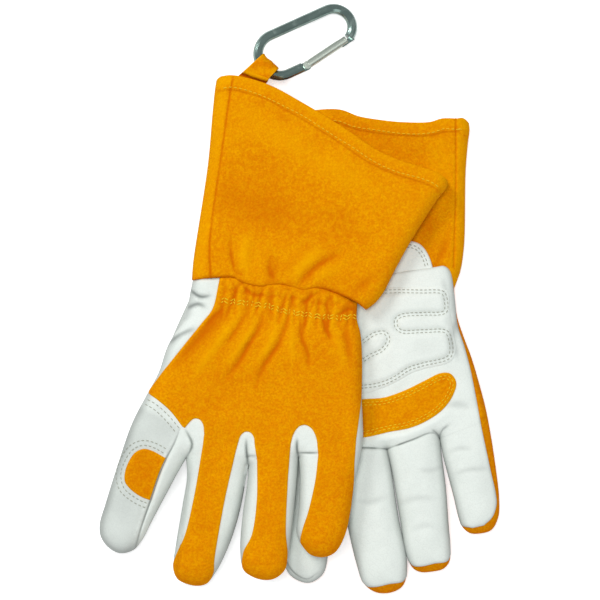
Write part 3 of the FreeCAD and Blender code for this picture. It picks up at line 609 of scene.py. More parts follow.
L_LITTLE = [(31.8, -108), (34, -128), (35.2, -146), (39.7, -152.6), (46, -157.4), (54, -157.8), (60.6, -154),
            (65, -144), (66.4, -128), (67, -110), (68.4, -92)]
L_INNER = [(68.6, -80), (66.4, -66), (64.4, -56), (62.6, -44), (60, -26), (57.2, -13.4), (53.6, -4),
           (52.6, 17)]


def outline(*runs):
    """One smooth line through the runs; slits between fingers stay sharp."""
    return np.vstack([smooth(run, steps=8) for run in runs])


LEFT_EDGE = outline(L_OUTER + L_INDEX + [S1], [S1] + L_MIDDLE + [S2], [S2] + L_RING + [S3],
                    [S3] + L_LITTLE + L_INNER)

T1, T2, T3 = (-38.3, -92), (-4.4, -96), (30.2, -94)
R_OUTER = [(-52.5, 17), (-53.5, 0), (-56, -22), (-64, -46), (-71, -66), (-73, -82)]
R_INDEX = [(-77, -115), (-80, -146), (-80, -160), (-76, -169), (-66, -174.2), (-56.5, -170), (-52, -160),
           (-47, -130), (-40, -98)]
R_MIDDLE = [(-37.6, -104), (-36.2, -140), (-33.6, -168), (-31, -180), (-24, -186.6), (-14, -188),
            (-6, -184.4), (-2, -172), (-3.2, -140), (-3.6, -108)]
R_RING = [(-3.2, -108), (-2.2, -140), (-1.2, -166), (1.6, -174.4), (6, -177.6), (13, -178.4), (21, -177.6),
          (25.4, -173.6), (27.2, -164), (28, -150), (29.6, -125), (29.8, -105)]
R_LITTLE = [(31, -106), (34, -132), (35.4, -147), (37, -153), (41, -157.2), (47, -158.4), (55, -157.2),
            (60.6, -149.6), (62.8, -138), (63.4, -118)]
R_INNER = [(63.2, -98), (62.2, -78), (60, -60), (57.8, -45.6), (54.6, -31.2), (52.4, -19), (52.4, -8),
           (53.2, 5), (53, 17)]
RIGHT_EDGE = outline(R_OUTER + R_INDEX + [T1], [T1] + R_MIDDLE + [T2], [T2] + R_RING + [T3],
                     [T3] + R_LITTLE + R_INNER)


def folds(points, lines):
    """Height and tone that creases (negative) and ridges (positive) add to a surface: the tone is painted
    shade in creases and a painted highlight on ridges.
    """
    height, tone = np.zeros(len(points)), np.zeros(len(points))
    for line, wide, deep in lines:
        line = smooth(line, steps=5) if len(line) < 6 else np.asarray(line)
        near = ((points > line.min(0) - wide * 3) & (points < line.max(0) + wide * 3)).all(axis=1)
        if not near.any():
            continue
        spots = points[near]
        gap, share = project(spots, line)
        taper = np.sin(np.pi * np.clip(share, 0.02, 0.98)) ** 0.6
        shape = bell(gap / wide) * taper
        height[near] += deep * shape
        tone[near] += np.clip(deep / 1.2, -1, 1) * shape
    return DEEPEST * np.tanh(height / DEEPEST), tone


def nothing(points):
    return 0.0


def flat_form(where, edge, low, high, reach, lines=(), seed=1.0, bumpy=0.5, shape=nothing, droop=nothing,
              shade=nothing):
    """A form between two heights. reach is how far in from its edge the top is full."""
    middle = low + (high - low) * SEAM_AT

    def result(points, depth, height, tone):
        # Painted shade darkens the form towards its edge.
        tone = tone - EDGE_SHADE * (1 - step_up(depth, 0, EDGE_WIDE)) + shade(points)
        return height + droop(points), np.clip(tone, -1, 1)

    def top(points):
        depth = distance(points, edge)
        side = rounded(depth, reach(points) if callable(reach) else reach, 2.1)
        add, tone = folds(points, lines)
        uneven = rough(points, 17.0, seed) * 0.6 + rough(points, 8.0, seed + 5) * 0.25
        height = middle + (high - middle + shape(points)) * side
        height = height + (add + bumpy * uneven) * step_up(depth, 0, 5)
        return result(points, depth, height, tone + 0.15 * uneven)

    def bottom(points):
        depth = distance(points, edge)
        return result(points, depth, middle - (middle - low) * rounded(depth, UNDER_ROLL, 2.1), 0.0)

    return Form(where, edge, top, bottom)


def finger_reach(points):
    return 9.5 + 4.5 * step_up(-points[:, 1], 80, 115)


def left_droop(points):
    """The index and middle fingers hang down past the lower glove."""
    index, middle = (np.maximum(0, (np.array(ROOTS[finger], float) - points) @ np.array(down))
                     * math.tan(math.radians(fall))
                     for finger, down, fall in (("index", [0.19, 0.98], 8), ("middle", [0.035, 1.0], 7)))
    by_index = points[:, 0] < -38.4 - 0.02 * (points[:, 1] + 90)
    return -np.where(by_index, index, np.where(points[:, 0] < -2, middle, 0))


# The white walls of two fingers meet in a crease above each slit.
C1, C2, C3 = (-44.6, -89.4), (-5.0, -90.4), (27.0, -85.6)
CREASE1 = smooth([C1, (-38.8, -98.5), S1], steps=5)
CREASE2 = smooth([C2, (-4.0, -97), S2], steps=5)
CREASE3 = smooth([C3, (27.8, -92), S3], steps=5)
INDEX_RIDGE = smooth([(-47.6, -89.6), (-49.9, -99), (-53.6, -109), (-56.6, -119), (-60.2, -137.6),
                      (-62.4, -148.5), (-64.2, -158.5), (-65.8, -171)], steps=8)
CROSS_SEAM = smooth([(28.2, -94.4), (34, -93.6), (43, -92.2)], steps=5)


def gathers():
    """Short wrinkles where elastic draws the back in at the wrist, each with its ridge."""
    lines = []
    for k in range(19):
        u = -32 + 4.7 * k + 1.6 * math.sin(k * 2.4)
        lean, twist = 3.4 * math.sin(k * 1.7), 2.6 * math.sin(k * 4.1)
        reach = 6 + 6 * math.sin(k * 2.9 + 1) ** 2
        deep = 0.7 + 0.5 * math.sin(k * 5.3) ** 2
        down = -5 - reach
        crease = [(u + twist, 9), (u + lean * 0.4, 3), (u, -4), (u - lean * 0.6, down - 1)]
        ridge = [(u + 2.4 + twist, 8), (u + 2.2, 2), (u + 2.4, -4), (u + 2.2 - lean * 0.6, down)]
        lines += [(crease, 1.15, -deep), (ridge, 1.2, 0.6 * deep)]
    for k in range(9):
        u, v = -28 + 9.6 * k, 2.5 + 1.4 * math.sin(k * 3.1)
        row = [(u - 4, v - 1.4), (u, v + 0.4 * math.sin(k * 2.2)), (u + 4.4, v + 1.6 * math.sin(k * 1.9))]
        lines.append((row, 1.1, -0.7))
    return lines


L_FOLDS = [
    ([(-23, 9.4), (-15.9, 2.2), (-6.3, 1.5)], 1.0, -1.6),
    ([(17.2, -1.3), (23.2, 5), (29.3, 9.9)], 1.0, -1.5),
    ([(40.8, -4.2), (48.3, 0.3), (56, 0.2)], 1.0, -1.5),
    ([(31.7, -6.5), (34, -12), (38.8, -20)], 1.1, -1.3),
    ([(-30.4, -8), (-34, -13), (-42, -24)], 1.4, -1.2),
    ([(-54, -1), (-47, -4.4), (-40, -3)], 1.1, -1.2), ([(-54, -13), (-48, -9.4), (-42, -10.4)], 1.3, -1.1),
    ([(-63, -37), (-56, -30), (-47, -25)], 1.6, -0.9), ([(-52, -20), (-56, -27), (-63, -33)], 2.2, 0.7),
    (INDEX_RIDGE, 0.55, -1.5), (INDEX_RIDGE + [2.6, 0], 1.7, 0.5), (INDEX_RIDGE - [1.6, 0], 0.9, 0.35),
    (CREASE1, 0.8, -2.2), (CREASE2, 0.8, -2.2), (CREASE3, 0.8, -2.2),
    (CROSS_SEAM, 0.5, -1.2), ([(-4.2, -101.6), (0.6, -100.4), (5, -101)], 0.6, -1.0),
    ([(-26, -8), (-34, -18), (-46, -34), (-57, -50)], 3.2, -1.0),
    ([(-19, -8), (-25, -20), (-35, -38), (-44, -56)], 3.0, 0.8),
    ([(-5.6, -7.9), (-6.0, -16.8), (-11.4, -29.8), (-17.5, -44.3), (-24.2, -54.7)], 1.7, -1.7),
    ([(-10, -10), (-11, -18), (-17, -32), (-25, -46)], 2.4, 0.9),
    ([(-16, -9), (-20, -20), (-27, -34)], 1.6, -0.9),
    ([(10.3, -10), (7.5, -26), (-0.1, -41.8), (-3.8, -56)], 1.7, -1.5),
    ([(4.4, -10), (2, -26), (-6, -42)], 2.4, 0.8),
    ([(18, -8), (20.8, -21.2), (26.3, -31.3), (27.7, -40)], 1.4, -1.2),
    ([(14.6, -10), (15, -24), (18, -38)], 2.2, 0.7),
    ([(32, -6), (34.6, -11), (39.2, -20)], 1.2, -1.3),
    ([(45, -8), (50, -20), (54, -34)], 2.4, -0.9), ([(40, -8), (46, -24), (50, -40)], 2.6, 0.5),
] + gathers()


def wrist_shape(points):
    """The dip at the gathered wrist, deeper where the cuff covers it."""
    cover = np.interp(points[:, 0], [-54, -28, 5, 25, 40, 57], [5.6, 10.4, 10.6, 11.6, 8.2, 1.8])
    return -3.4 * step_up(points[:, 1], -26, -6) - 5.0 * step_up(points[:, 1] - cover, -1.5, 4)


def index_shade(points):
    """The index finger's plate is greyer than its wall beyond the seam."""
    seam = np.interp(-points[:, 1], -INDEX_RIDGE[:, 1], INDEX_RIDGE[:, 0])
    finger = step_up(-points[:, 1] - 0.35 * (points[:, 0] + 48), 86, 91) * (points[:, 0] < -38)
    return finger * (0.12 - 0.36 * step_up(seam - points[:, 0], -0.3, 0.3))


left_form = flat_form(LEFT_HAND, LEFT_EDGE, LEFT_LOW, LEFT_TOP, finger_reach, lines=L_FOLDS, seed=3.1,
                      bumpy=0.8, shape=wrist_shape, droop=left_droop, shade=index_shade)

R_INDEX_ROOT, R_LITTLE_ROOT = (-73, -84), (62.3, -84)
PALM_CREASE = smooth([T1, (-19.3, -93), T2], steps=5), smooth([T2, (13.1, -92.2), (25.6, -89.8), T3], steps=5)
R_FOLDS = [
    (np.vstack(PALM_CREASE), 0.7, -1.3),
    ([(-19, -89), (-2, -89.4), (16, -87), (30, -82), (40, -76)], 2.2, 1.0),
    ([(30.2, -94), (29, -90.6), (25.6, -87.4)], 0.9, -1.1),
    ([(30.2, -94), (32, -89.4), (37.4, -86)], 0.9, -0.8),
    ([(-78.6, -148), (-77.6, -159), (-73.8, -166.4), (-66.6, -171.2), (-60, -168.4)], 0.5, -1.0),
    ([(50, -20), (47, -32), (48.6, -45)], 2.4, -0.8), ([(46, 8), (46.8, 0), (46.2, -8)], 1.6, -0.3),
    ([(36, -76), (44, -74), (52, -77)], 2.4, -0.35), ([(14, -112), (22, -113.5), (29, -112)], 1.6, -0.25),
    ([(36, -118), (46, -116.5), (58, -117.4)], 1.6, -0.3),
    ([(-2, -132), (10, -130), (22, -132)], 2.0, -0.25), ([(-30, -126), (-18, -128), (-8, -126)], 2.0, -0.25),
    ([(34, -104), (42, -102), (50, -104)], 1.8, -0.3), ([(4, -150), (12, -148), (20, -150)], 2.0, -0.2),
]


def right_form(top):
    return flat_form(RIGHT_HAND, RIGHT_EDGE, RIGHT_LOW, top, finger_reach, lines=R_FOLDS, seed=8.3, bumpy=0.7)


def local_point(where, uv, z):
    x, y = to_world(np.array([uv], float), where)[0]
    return (x / 1000, y / 1000, z / 1000)


def bends(obj, where, finger, splay, reach, z):
    """Bakes a finger piece's place into its points; where it would bend at its root, between two distances
    past it, is worked out but not used.
    """
    a = math.radians(splay)
    down = np.array([-math.sin(a), -math.cos(a)])
    near, far = (local_point(where, np.array(ROOTS[finger], float) + down * gap, z) for gap in reach)
    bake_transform(obj)


def done(obj, *nodes, body=None):
    """Hides the parts a piece stands for and attaches it to what it moves with."""
    if nodes:
        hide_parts(*nodes)
    if body is not None:
        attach(obj, body)
    return obj


def panel(name, form, loop, material, *nodes, body=None, **settings):
    """A piece sewn on, what it stands for and what it moves with."""
    return done(overlay(name, form, loop, material, **settings), *nodes, body=body)


def sew(name, form, line, material, size, body=None, **settings):
    """A row of stitches: their length, gap and width are its size."""
    return done(stitches(name, form, thin(line, 1.0), material, *size, **settings), body=body)


def fold_lines(lines):
    return [smooth(line, steps=5) for line, wide, deep in lines]


FINE, FINGER_FINE, KNUCKLE_ROW = (1.9, 0.9, 0.5), (1.9, 1.0, 0.5), (2.0, 0.9, 0.55)
GATHER_ROW, HEM_ROW = (2.2, 0.5, 0.7), (2.3, 0.9, 0.66)
RIM_SHADE = -0.25  # the painted shade that darkens leather's turned rim

# ------------------------------------------------------------------ the upper glove's hand

INDEX_SEAM = smooth([(-72, -71), (-64, -74), (-55, -80), C1], steps=6)
hand_loop = joined(upto(LEFT_EDGE, L_OUTER[0], L_OUTER[-1]), INDEX_SEAM, C2, C3,
                   upto(LEFT_EDGE, L_INNER[0], L_INNER[-1]))
L_BACK_EDGE = joined(
    smooth([(-36, 17), (-36.5, 4), (-38, -11), (-43.5, -21), (-53, -37), (-63, -54), (-71, -69)], steps=8),
    smooth([(-70.4, -70.4), (-64, -73.6), (-55, -79.6), (-46.5, -88)], steps=5),
    smooth([(-44.8, -88.6), (-43, -85.6), (-40, -82), (-36.6, -81.8), (-33.6, -84.8), (-32.2, -90.5)],
           steps=5),
    smooth([(-9.8, -93), (-8.9, -88.4), (-6.4, -85.6), (-3.2, -85.6), (-0.6, -88.2), (0.6, -92.8)], steps=5),
    smooth([(23.4, -89.4), (24.2, -83), (27, -77.6), (31, -76), (35.4, -78), (38.8, -83), (39.9, -86.4)],
           steps=5),
    [(64.2, -80)], smooth([(64.2, -80), (64, -66), (63.6, -54), (62.4, -43)], steps=5),
    upto(LEFT_EDGE, (61.6, -38), L_INNER[-1]))
L_JOINS = {"middle": ((-32.2, -90.5), (-9.8, -93)), "ring": ((0.6, -92.8), (23.4, -89.4)),
           "little": ((39.9, -86.4), (64.2, -80))}
left_hand = pillow("left_hand_shell", under(left_form, L_BACK_EDGE, 0.9), hand_loop, WHITE,
                   lines=fold_lines(L_FOLDS[4:9]))
left_back = panel("left_back_panel", left_form, L_BACK_EDGE, ORANGE, "left_back", "left_wrist_elastic",
                  joins=L_JOINS.values())

# Each strip starts and ends at the back panel and shares its tip with the finger.
L_STRIPS = {
    "middle": ([(-32, -98), (-33.2, -133), (-35.6, -157), (-39.4, -171), *L_MIDDLE[3:7], (-14.2, -178),
                (-14.6, -170), (-13.3, -131), (-10.6, -99)]),
    "ring": ([(3.6, -103), (6.9, -128), (6.8, -150), (3.2, -162), *L_RING[3:7], (31, -160), (28, -145),
              (24.6, -110)]),
    "little": ([(41.6, -94), (42, -110), (40.4, -130), (38.4, -142), (38.2, -150), (40.4, -153),
                *L_LITTLE[4:8], (66.6, -128), (66.4, -108), (65.2, -96)]),
}
L_FINGERS = {
    "index": (L_OUTER[-1], S1, [CREASE1[::-1], INDEX_SEAM[::-1]], [INDEX_RIDGE, CREASE1], 11),
    "middle": (S1, S2, [CREASE2[::-1], CREASE1], [CREASE1, CREASE2], 2),
    "ring": (S2, S3, [CREASE3[::-1], CREASE2], [CREASE2, CREASE3], -4),
    "little": (S3, L_INNER[0], [CREASE3], [CREASE3, CROSS_SEAM], -2),
}
BADGE_LOW, BADGE_TOP = [(-65.4, -136.6), (-70.4, -134.6)], [(-79, -123.6), (-78, -116.7), (-74.4, -108.9),
                                                            (-69.5, -105.6), (-64, -105.8)]
BADGE = smooth([(-60.9, -137.6), *BADGE_LOW, (-75, -131.6), (-78, -128.4), *BADGE_TOP, (-54.8, -109.2)],
               steps=6)
BADGE_ROW = smooth([(-61.2, -137.6), *BADGE_LOW, (-76.4, -130.6), *BADGE_TOP, (-56.4, -108.6)], steps=8)


def index_pieces():
    """The patch on the index finger, its stitches and those along the finger's root."""
    patch = joined(BADGE, upto(INDEX_RIDGE, BADGE[-1], BADGE[0]) - [0.5, 0])
    pieces = [panel("left_index_badge", left_form, patch, ORANGE, "left_index_patch", thick=0.9, roll=0.8)]
    for k, gap in enumerate((2.3, 5.4)):
        row = stitches("left_badge_stitch_%d" % k, left_form, beside(BADGE_ROW, gap), GREY, *FINGER_FINE)
        pieces.append(done(row))
        seam = beside(INDEX_SEAM, -2.4 - 3.4 * k)[1:-1]
        pieces.append(sew("left_index_seam_%d" % k, left_form, seam, GREY, FINGER_FINE))
    return pieces


for finger, (start, end, root_line, seams, splay) in L_FINGERS.items():
    loop = joined(upto(LEFT_EDGE, start, end), *root_line)
    stall = pillow("left_" + finger + "_shell", left_form, loop, WHITE, lines=seams)
    done(stall, "left_" + finger + "_stall", *(["left_index_back"] if finger == "index" else []))
    if finger in L_STRIPS:
        first, last = L_JOINS[finger]
        edge = joined(first, smooth(L_STRIPS[finger], steps=7), last)
        pieces = [panel("left_" + finger + "_strip", left_form, edge, ORANGE, "left_" + finger + "_back",
                        joins=[L_JOINS[finger]])]
    else:
        pieces = index_pieces()
    for obj in [stall] + pieces:
        bends(obj, LEFT_HAND, finger, splay, LEFT_BEND, LEFT_BEND_Z)

pucker_rows = []
for k, v in enumerate((-3.6, -5.6)):
    row = smooth([(-34, v), (-16, v + 0.2), (-6, v + 0.6), (8, v - 1.4), (28, v - 1.6), (44, v - 0.6),
                  (53, v + 1.4)], steps=10)
    pucker_rows.append(sew("left_gather_stitch_%d" % k, left_form, row, YELLOW, GATHER_ROW, zigzag=40,
                           lift=1.35))
done(left_hand, "left_palm")
before, past = (local_point(LEFT_HAND, (0, v), WRIST_BEND_Z) for v in (-4, 12))
for obj in [left_hand, left_back] + pucker_rows:
    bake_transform(obj)

# ------------------------------------------------------------------ the lower glove's hand

right_base, right_face = right_form(RIGHT_BASE_TOP), right_form(RIGHT_TOP)
thumb_side = upto(RIGHT_EDGE, (-53.2, 8), R_INDEX_ROOT)
right_loop = joined(thumb_side, *PALM_CREASE, upto(RIGHT_EDGE, R_LITTLE_ROOT, (53.2, 6)))
R_WHITE_EDGE = smooth([(50.4, -153.2), (56.4, -148.8), (60.2, -141.5), (60.8, -134.5), (59.8, -121),
                       (58.6, -105), (57.6, -90), (56.8, -70), (55.6, -50.7), (53.8, -36.6), (51.6, -24),
                       (52.2, -8)], steps=7)
WHITE_END = (57.5, -86)  # where the palm's white edge passes to the little finger
R_PALM = joined(thumb_side, *PALM_CREASE, upto(R_WHITE_EDGE, WHITE_END, (52.2, -8)),
                smooth([(52.4, 6), (51.8, 11.4), (48.4, 15.2), (42, 15.4), (14.4, 15.4)], steps=6),
                [(-20, 16)])
R_JOINS = [(a, b) for line in PALM_CREASE for a, b in zip(line, line[1:])]
R_JOINS.append((T3, upto(R_WHITE_EDGE, WHITE_END, WHITE_END)[0]))
right_hand = pillow("right_back_shell", under(right_base, R_PALM, 1.4), right_loop, ORANGE)
done(right_hand, "right_back", "right_wrist_elastic", body="right_glove")
panel("right_palm_panel", right_base, R_PALM, WHITE, "right_palm", body="right_glove", thick=0.9, roll=1.6,
      joins=R_JOINS, lines=fold_lines(R_FOLDS[2:4]) + list(PALM_CREASE), rim_tone=RIM_SHADE)


def squared(loop, tip):
    """A finger's outline with a flat end, its two corners eased and its end a little wavy."""
    low = loop[loop[:, 1] >= tip + 3.2]
    gaps = np.linalg.norm(low - np.roll(low, 1, axis=0), axis=1) * (low[:, 1] < tip + 9)
    low = np.roll(low, -int(np.argmax(gaps)), axis=0)
    (bx, by), (ax, ay) = low[0], low[-1]
    wave = [(0.1, 0.5), (0.3, -0.3), (0.6, 0.4), (0.9, 0.6)]
    wavy = [(ax + (bx - ax) * share, tip + rise) for share, rise in wave]
    return joined(low, smooth([(ax, ay), *wavy, (bx, by)], steps=5))


R_FINGERS = {
    "index": (R_INDEX_ROOT, T1, T1, -173),
    "middle": (T1, T2, PALM_CREASE[0][::-1], -182.4),
    "ring": (T2, T3, PALM_CREASE[1][::-1], -173.4),
    "little": (T3, R_LITTLE_ROOT, T3, -152),
}
RIGHT_SPLAY = {"ring": -1, "little": -3}  # the fingers that would bend, and how they spread in degrees
for finger, (start, end, root_line, tip) in R_FINGERS.items():
    loop = joined(upto(RIGHT_EDGE, start, end), root_line)
    base = pillow("right_" + finger + "_shell", under(right_base, loop, 1.0), loop, ORANGE)
    done(base, "right_" + finger + "_back", *(["right_index_patch"] if finger == "index" else []))
    keep = loop[loop[:, 1] > tip]
    if finger == "index":
        keep = loop
    elif finger == "little":
        keep = joined(T3, keep[(keep[:, 0] < 40) & (keep[:, 1] < -98)], (38.6, -152.6), (43, -153.8),
                      upto(R_WHITE_EDGE, R_WHITE_EDGE[0], WHITE_END))
    else:
        keep = squared(keep, tip)
    face = panel("right_" + finger + "_face", right_base, keep, WHITE, "right_" + finger + "_stall",
                 thick=0.9, roll=1.2, joins=R_JOINS, lines=fold_lines(R_FOLDS[2:5]) + list(PALM_CREASE),
                 rim_tone=RIM_SHADE)
    for obj in (base, face):
        if finger in RIGHT_SPLAY:
            bends(obj, RIGHT_HAND, finger, RIGHT_SPLAY[finger],
                  RIGHT_BEND, RIGHT_BEND_Z)
        else:
            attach(obj, "right_glove")

PAD = smooth([(-18, 6.6), (9.7, 6.6), (30, 4), (45, 2.2), (48.6, -2), (48.2, -13), (48, -28), (48, -40),
              (44, -46), (27, -48.4), (18, -50), (6.6, -54.4), (-3, -57), (-18, -57.4)], True, 8)[:-1]


def quilt(points):
    """The pad swells between its stitched channels."""
    swell = np.max([bell(distance(points, line) / 2.0) for line in PAD_LINES], axis=0)
    return 1.5 * (1 - swell) * step_up(distance(points, closed(PAD)), 0, 6)


PAD_LINES = [
    smooth([(-12, 4.2), (9.8, 4.0), (32.5, 0.9), (43.4, -0.8), (45.4, -2.4), (45.6, -12), (43.8, -14.2),
            (30.5, -13.2), (17, -12.4), (12.8, -14.6), (12.6, -19.6), (15.4, -22.4), (28.9, -24.2),
            (42.4, -26), (44.6, -28.4), (45, -39.6), (42.4, -43.2), (26, -45.2), (16.6, -46.8), (6.6, -51.4),
            (-3, -53.9), (-16.4, -54.2)], steps=8),
    smooth([(-10.6, -25.8), (-1.5, -21.4), (4.8, -22), (6.2, -26.4), (1.6, -32.2), (-6.5, -35),
            (-12.2, -37.6)], steps=8),
]
pad = panel("right_palm_quilt", right_face, PAD, WHITE, "right_palm_pad", body="right_glove", thick=0.8,
            roll=2.6, puff=quilt)


def raised(form, rise):
    """The top of a form, raised by what lies on it."""
    return Form(form.where, form.edge, lambda p: (form.height(p) + rise(p), np.zeros(len(p))), form.bottom)


pad_form = raised(right_face, lambda p: (0.8 + quilt(p)) * inside(p, PAD))
for k, line in enumerate(PAD_LINES):
    for j, gap in enumerate((-1.05, 1.05)):
        sew("right_quilt_stitch_%d_%d" % (k, j), pad_form, beside(line, gap), GREY, FINE, "right_glove")

KNUCKLE = smooth([(-24, -63.6), (-1, -62.8), (13, -59.9), (26, -55.6), (36.6, -52.4), (42.6, -53.6),
                  (45.6, -59.6), (42.4, -67.6), (35.6, -75), (27.2, -80), (14.3, -84.2), (0, -85.2),
                  (-24, -84.6)], True, 7)[:-1]
KNUCKLE_ROWS = [closed(inset(KNUCKLE, gap)) for gap in (2.2, 4.0)]
panel("right_knuckle_pad", right_face, KNUCKLE, ORANGE, "right_knuckle_patch", body="right_glove", thick=1.2,
      roll=1.6, rim_tone=0.7)
knuckle_form = raised(right_face, lambda p: 1.1)
for k, row in enumerate(KNUCKLE_ROWS):
    sew("right_knuckle_stitch_%d" % k, knuckle_form, row, YELLOW, KNUCKLE_ROW, "right_glove")

left_pad = panel("left_palm_quilt", left_form, PAD, WHITE, "left_palm_pad", body="left_hand", thick=0.6,
                 side=-1, roll=2.6, puff=lambda points: 0.3 * quilt(points))
panel("left_knuckle_pad", left_form, KNUCKLE, ORANGE, "left_knuckle_patch", body="left_hand", thick=1.0,
      side=-1, roll=1.6)
for k, row in enumerate(KNUCKLE_ROWS):
    sew("left_knuckle_stitch_%d" % k, left_form, row, YELLOW, KNUCKLE_ROW, "left_hand", side=-1, lift=1.0)
for k, line in enumerate(PAD_LINES):
    sew("left_quilt_stitch_%d" % k, left_form, line, GREY, FINE, "left_hand", side=-1, lift=0.6)

TONGUE = smooth([(-31, -14), (-20, -14.6), (-6, -16), (1.4, -20), (3, -25), (-1, -30.4), (-12, -34),
                 (-22, -36), (-31, -38)], True, 5)[:-1]
for name, form, side, body in (("left", left_form, -1, "left_hand"), ("right", right_face, 1, "right_glove")):
    panel(name + "_thumb_tongue_piece", form, TONGUE, WHITE, name + "_thumb_tongue", body=body, thick=0.9,
          side=side, rim_tone=RIM_SHADE)

# ------------------------------------------------------------------ thumbs


def thumb(side, hand, origin, turn, low, high, body):
    half = [(15, 12), (16, -10), (16.4, -34), (14.5, -52), (8, -61.5)]
    edge = smooth([(-x, y) for x, y in half] + [(0, -64)] + half[::-1], steps=7)
    where = place(to_world(np.array([origin], float), hand)[0], turn)
    form = flat_form(where, edge, low, high, 11.0, seed=low + 2.0)
    done(pillow(side + "_thumb_shell", form, joined(edge), WHITE, 3.0), side + "_thumb", body=body)


thumb("left", LEFT_HAND, (-38, -8), LEFT_TURN - 14.5, 2.8, 17.5, "left_hand")
thumb("right", RIGHT_HAND, (-66.8, -49), RIGHT_TURN - 45, RIGHT_LOW, RIGHT_BASE_TOP, "right_glove")

# ------------------------------------------------------------------ cuffs


def cuff(side, where, left_side, right_side, mouth, fold, low, high, body, seed, lines, seam, lift, hem_wide):
    """Two suede panels joined down both sides, open at the mouth, with a turned and stitched hem."""
    sides = [smooth(left_side, steps=8), smooth(right_side, steps=8)]
    hem, root = smooth(mouth, steps=8), smooth(fold, steps=8)
    middle = low + (high - low) * SEAM_AT
    seam_line = smooth(seam, steps=10)

    def depth_of(points):
        return np.minimum(distance(points, sides[0]), distance(points, sides[1]))

    def turned(points):
        """1 on the turned hem, 0 past it."""
        return 1 - step_up(distance(points, hem), hem_wide - 0.5, hem_wide + 0.5)

    def top(points):
        depth, seam_gap = depth_of(points), distance(points, seam_line)
        root_gap, hem_gap = distance(points, root), distance(points, hem)
        add, tone = folds(points, lines)
        uneven = rough(points, 30.0, seed) * 0.9 + rough(points, 9.0, seed + 3) * 0.18
        height = middle + (high - middle) * rounded(depth, 12, 2.2)
        height += (add + uneven) * step_up(depth, 0, 6) - 0.6 * bell(seam_gap / 0.5) + 0.5 * turned(points)
        tucked = 2.8 * (1 - rounded(root_gap, 3.0, 2.0)) * step_up(depth, 1, 8)
        height += lift * (1 - step_up(root_gap, 2, 40)) - tucked
        # Painted shade darkens the cuff along its root, where it is tucked down.
        tone = tone - 0.9 * bell(seam_gap / 0.7) + 0.25 * uneven - 0.7 * (1 - step_up(root_gap, 0, 2.5))
        band = 1 - step_up(distance(points, sides[1] if seam[0][0] > 0 else sides[0]), 7.0, 9.5)
        tone = tone + 0.4 * band + 0.3 * (1 - step_up(hem_gap, 0.5, 7.0))
        tone = tone - 0.5 * bell((hem_gap - hem_wide) / 0.7)
        return height, np.clip(tone, -1, 1)

    def bottom(points):
        height = middle - (middle - low) * rounded(depth_of(points), 8, 2.2) - 0.3 * turned(points)
        return height, np.zeros(len(points))

    form = Form(where, sides[0], top, bottom)
    loop = joined(root, sides[1], hem[::-1], sides[0][::-1])
    obj = pillow(side + "_cuff_shell", form, loop, ORANGE, STEP + 0.5, [seam_line, beside(hem, -hem_wide)])
    solid = obj.modifiers.new("leather", "SOLIDIFY")
    solid.thickness, solid.offset = CUFF_LEATHER, -1
    bpy.context.view_layer.update()
    made = bpy.data.meshes.new_from_object(obj.evaluated_get(bpy.context.evaluated_depsgraph_get()))
    obj.modifiers.clear()
    obj.data = made
    for point in obj.data.vertices:
        point.co.z = max(point.co.z, low / 1000)
    done(obj, side + "_cuff_back", side + "_cuff_palm", body=body)
    return form, hem


left_cuff_form, l_hem = cuff(
    "left", LEFT_CUFF,
    [(-53.8, -5.3), (-57, 7), (-68.5, 67.6), (-77.1, 101.8), (-80.6, 117), (-81, 121), (-79.6, 123.4)],
    [(57.6, 13.4), (61.6, 19.5), (64.3, 27.3), (66.7, 43.7), (70.2, 64.6), (77.3, 94.9), (80.4, 104.6),
     (79.6, 108.4)],
    [(-79.6, 123.4), (-74, 126), (-67.7, 127.4), (-47.7, 128.4), (-26.2, 125.1), (-4.3, 120.6), (15, 115.8),
     (29.2, 112), (46.7, 110.6), (63.5, 111.1), (73.8, 110.6), (79.6, 108.4)],
    [(-53.8, -5.3), (-39.5, 1.1), (-29, 4.8), (-25.6, 3.8), (-12, 4.4), (-5, 7.6), (1, 10.2), (8, 11),
     (15.6, 11.4), (21, 14.4), (27, 16.8), (40.9, 16.8), (51, 15.6), (57.6, 13.4)],
    17.8, 30.9, "left_cuff", 5.5,
    [([(11.4, 14), (15, 22), (20, 31), (30, 42)], 1.7, -1.9), ([(6, 14), (10, 26), (19, 42)], 3.4, 0.9),
     ([(19, 16), (24, 26), (33, 36)], 3.0, 0.7),
     ([(-24, 5.4), (-30.4, 10.6), (-35.6, 18.6), (-39, 29)], 1.0, -1.5),
     ([(-22, 10), (-27, 20), (-31, 34)], 3.2, 0.8), ([(-21, 8), (-29.6, 9.6)], 0.7, -0.8),
     ([(-2, 11.4), (-9, 17), (-11, 27)], 1.6, -1.0), ([(46, 18), (50, 28), (58, 40)], 3.0, -0.7),
     ([(-8, 8), (-6, 18), (-8, 28)], 2.4, -0.6), ([(-70, 110), (-40, 100), (10, 92), (60, 84)], 9.0, 0.5),
     ([(-66, 60), (-40, 50), (0, 46)], 10.0, -0.5)],
    [(-71.6, 125), (-70.4, 117.7), (-61, 70), (-51, 22), (-43.2, 1.2)], 2.6, 9.3)
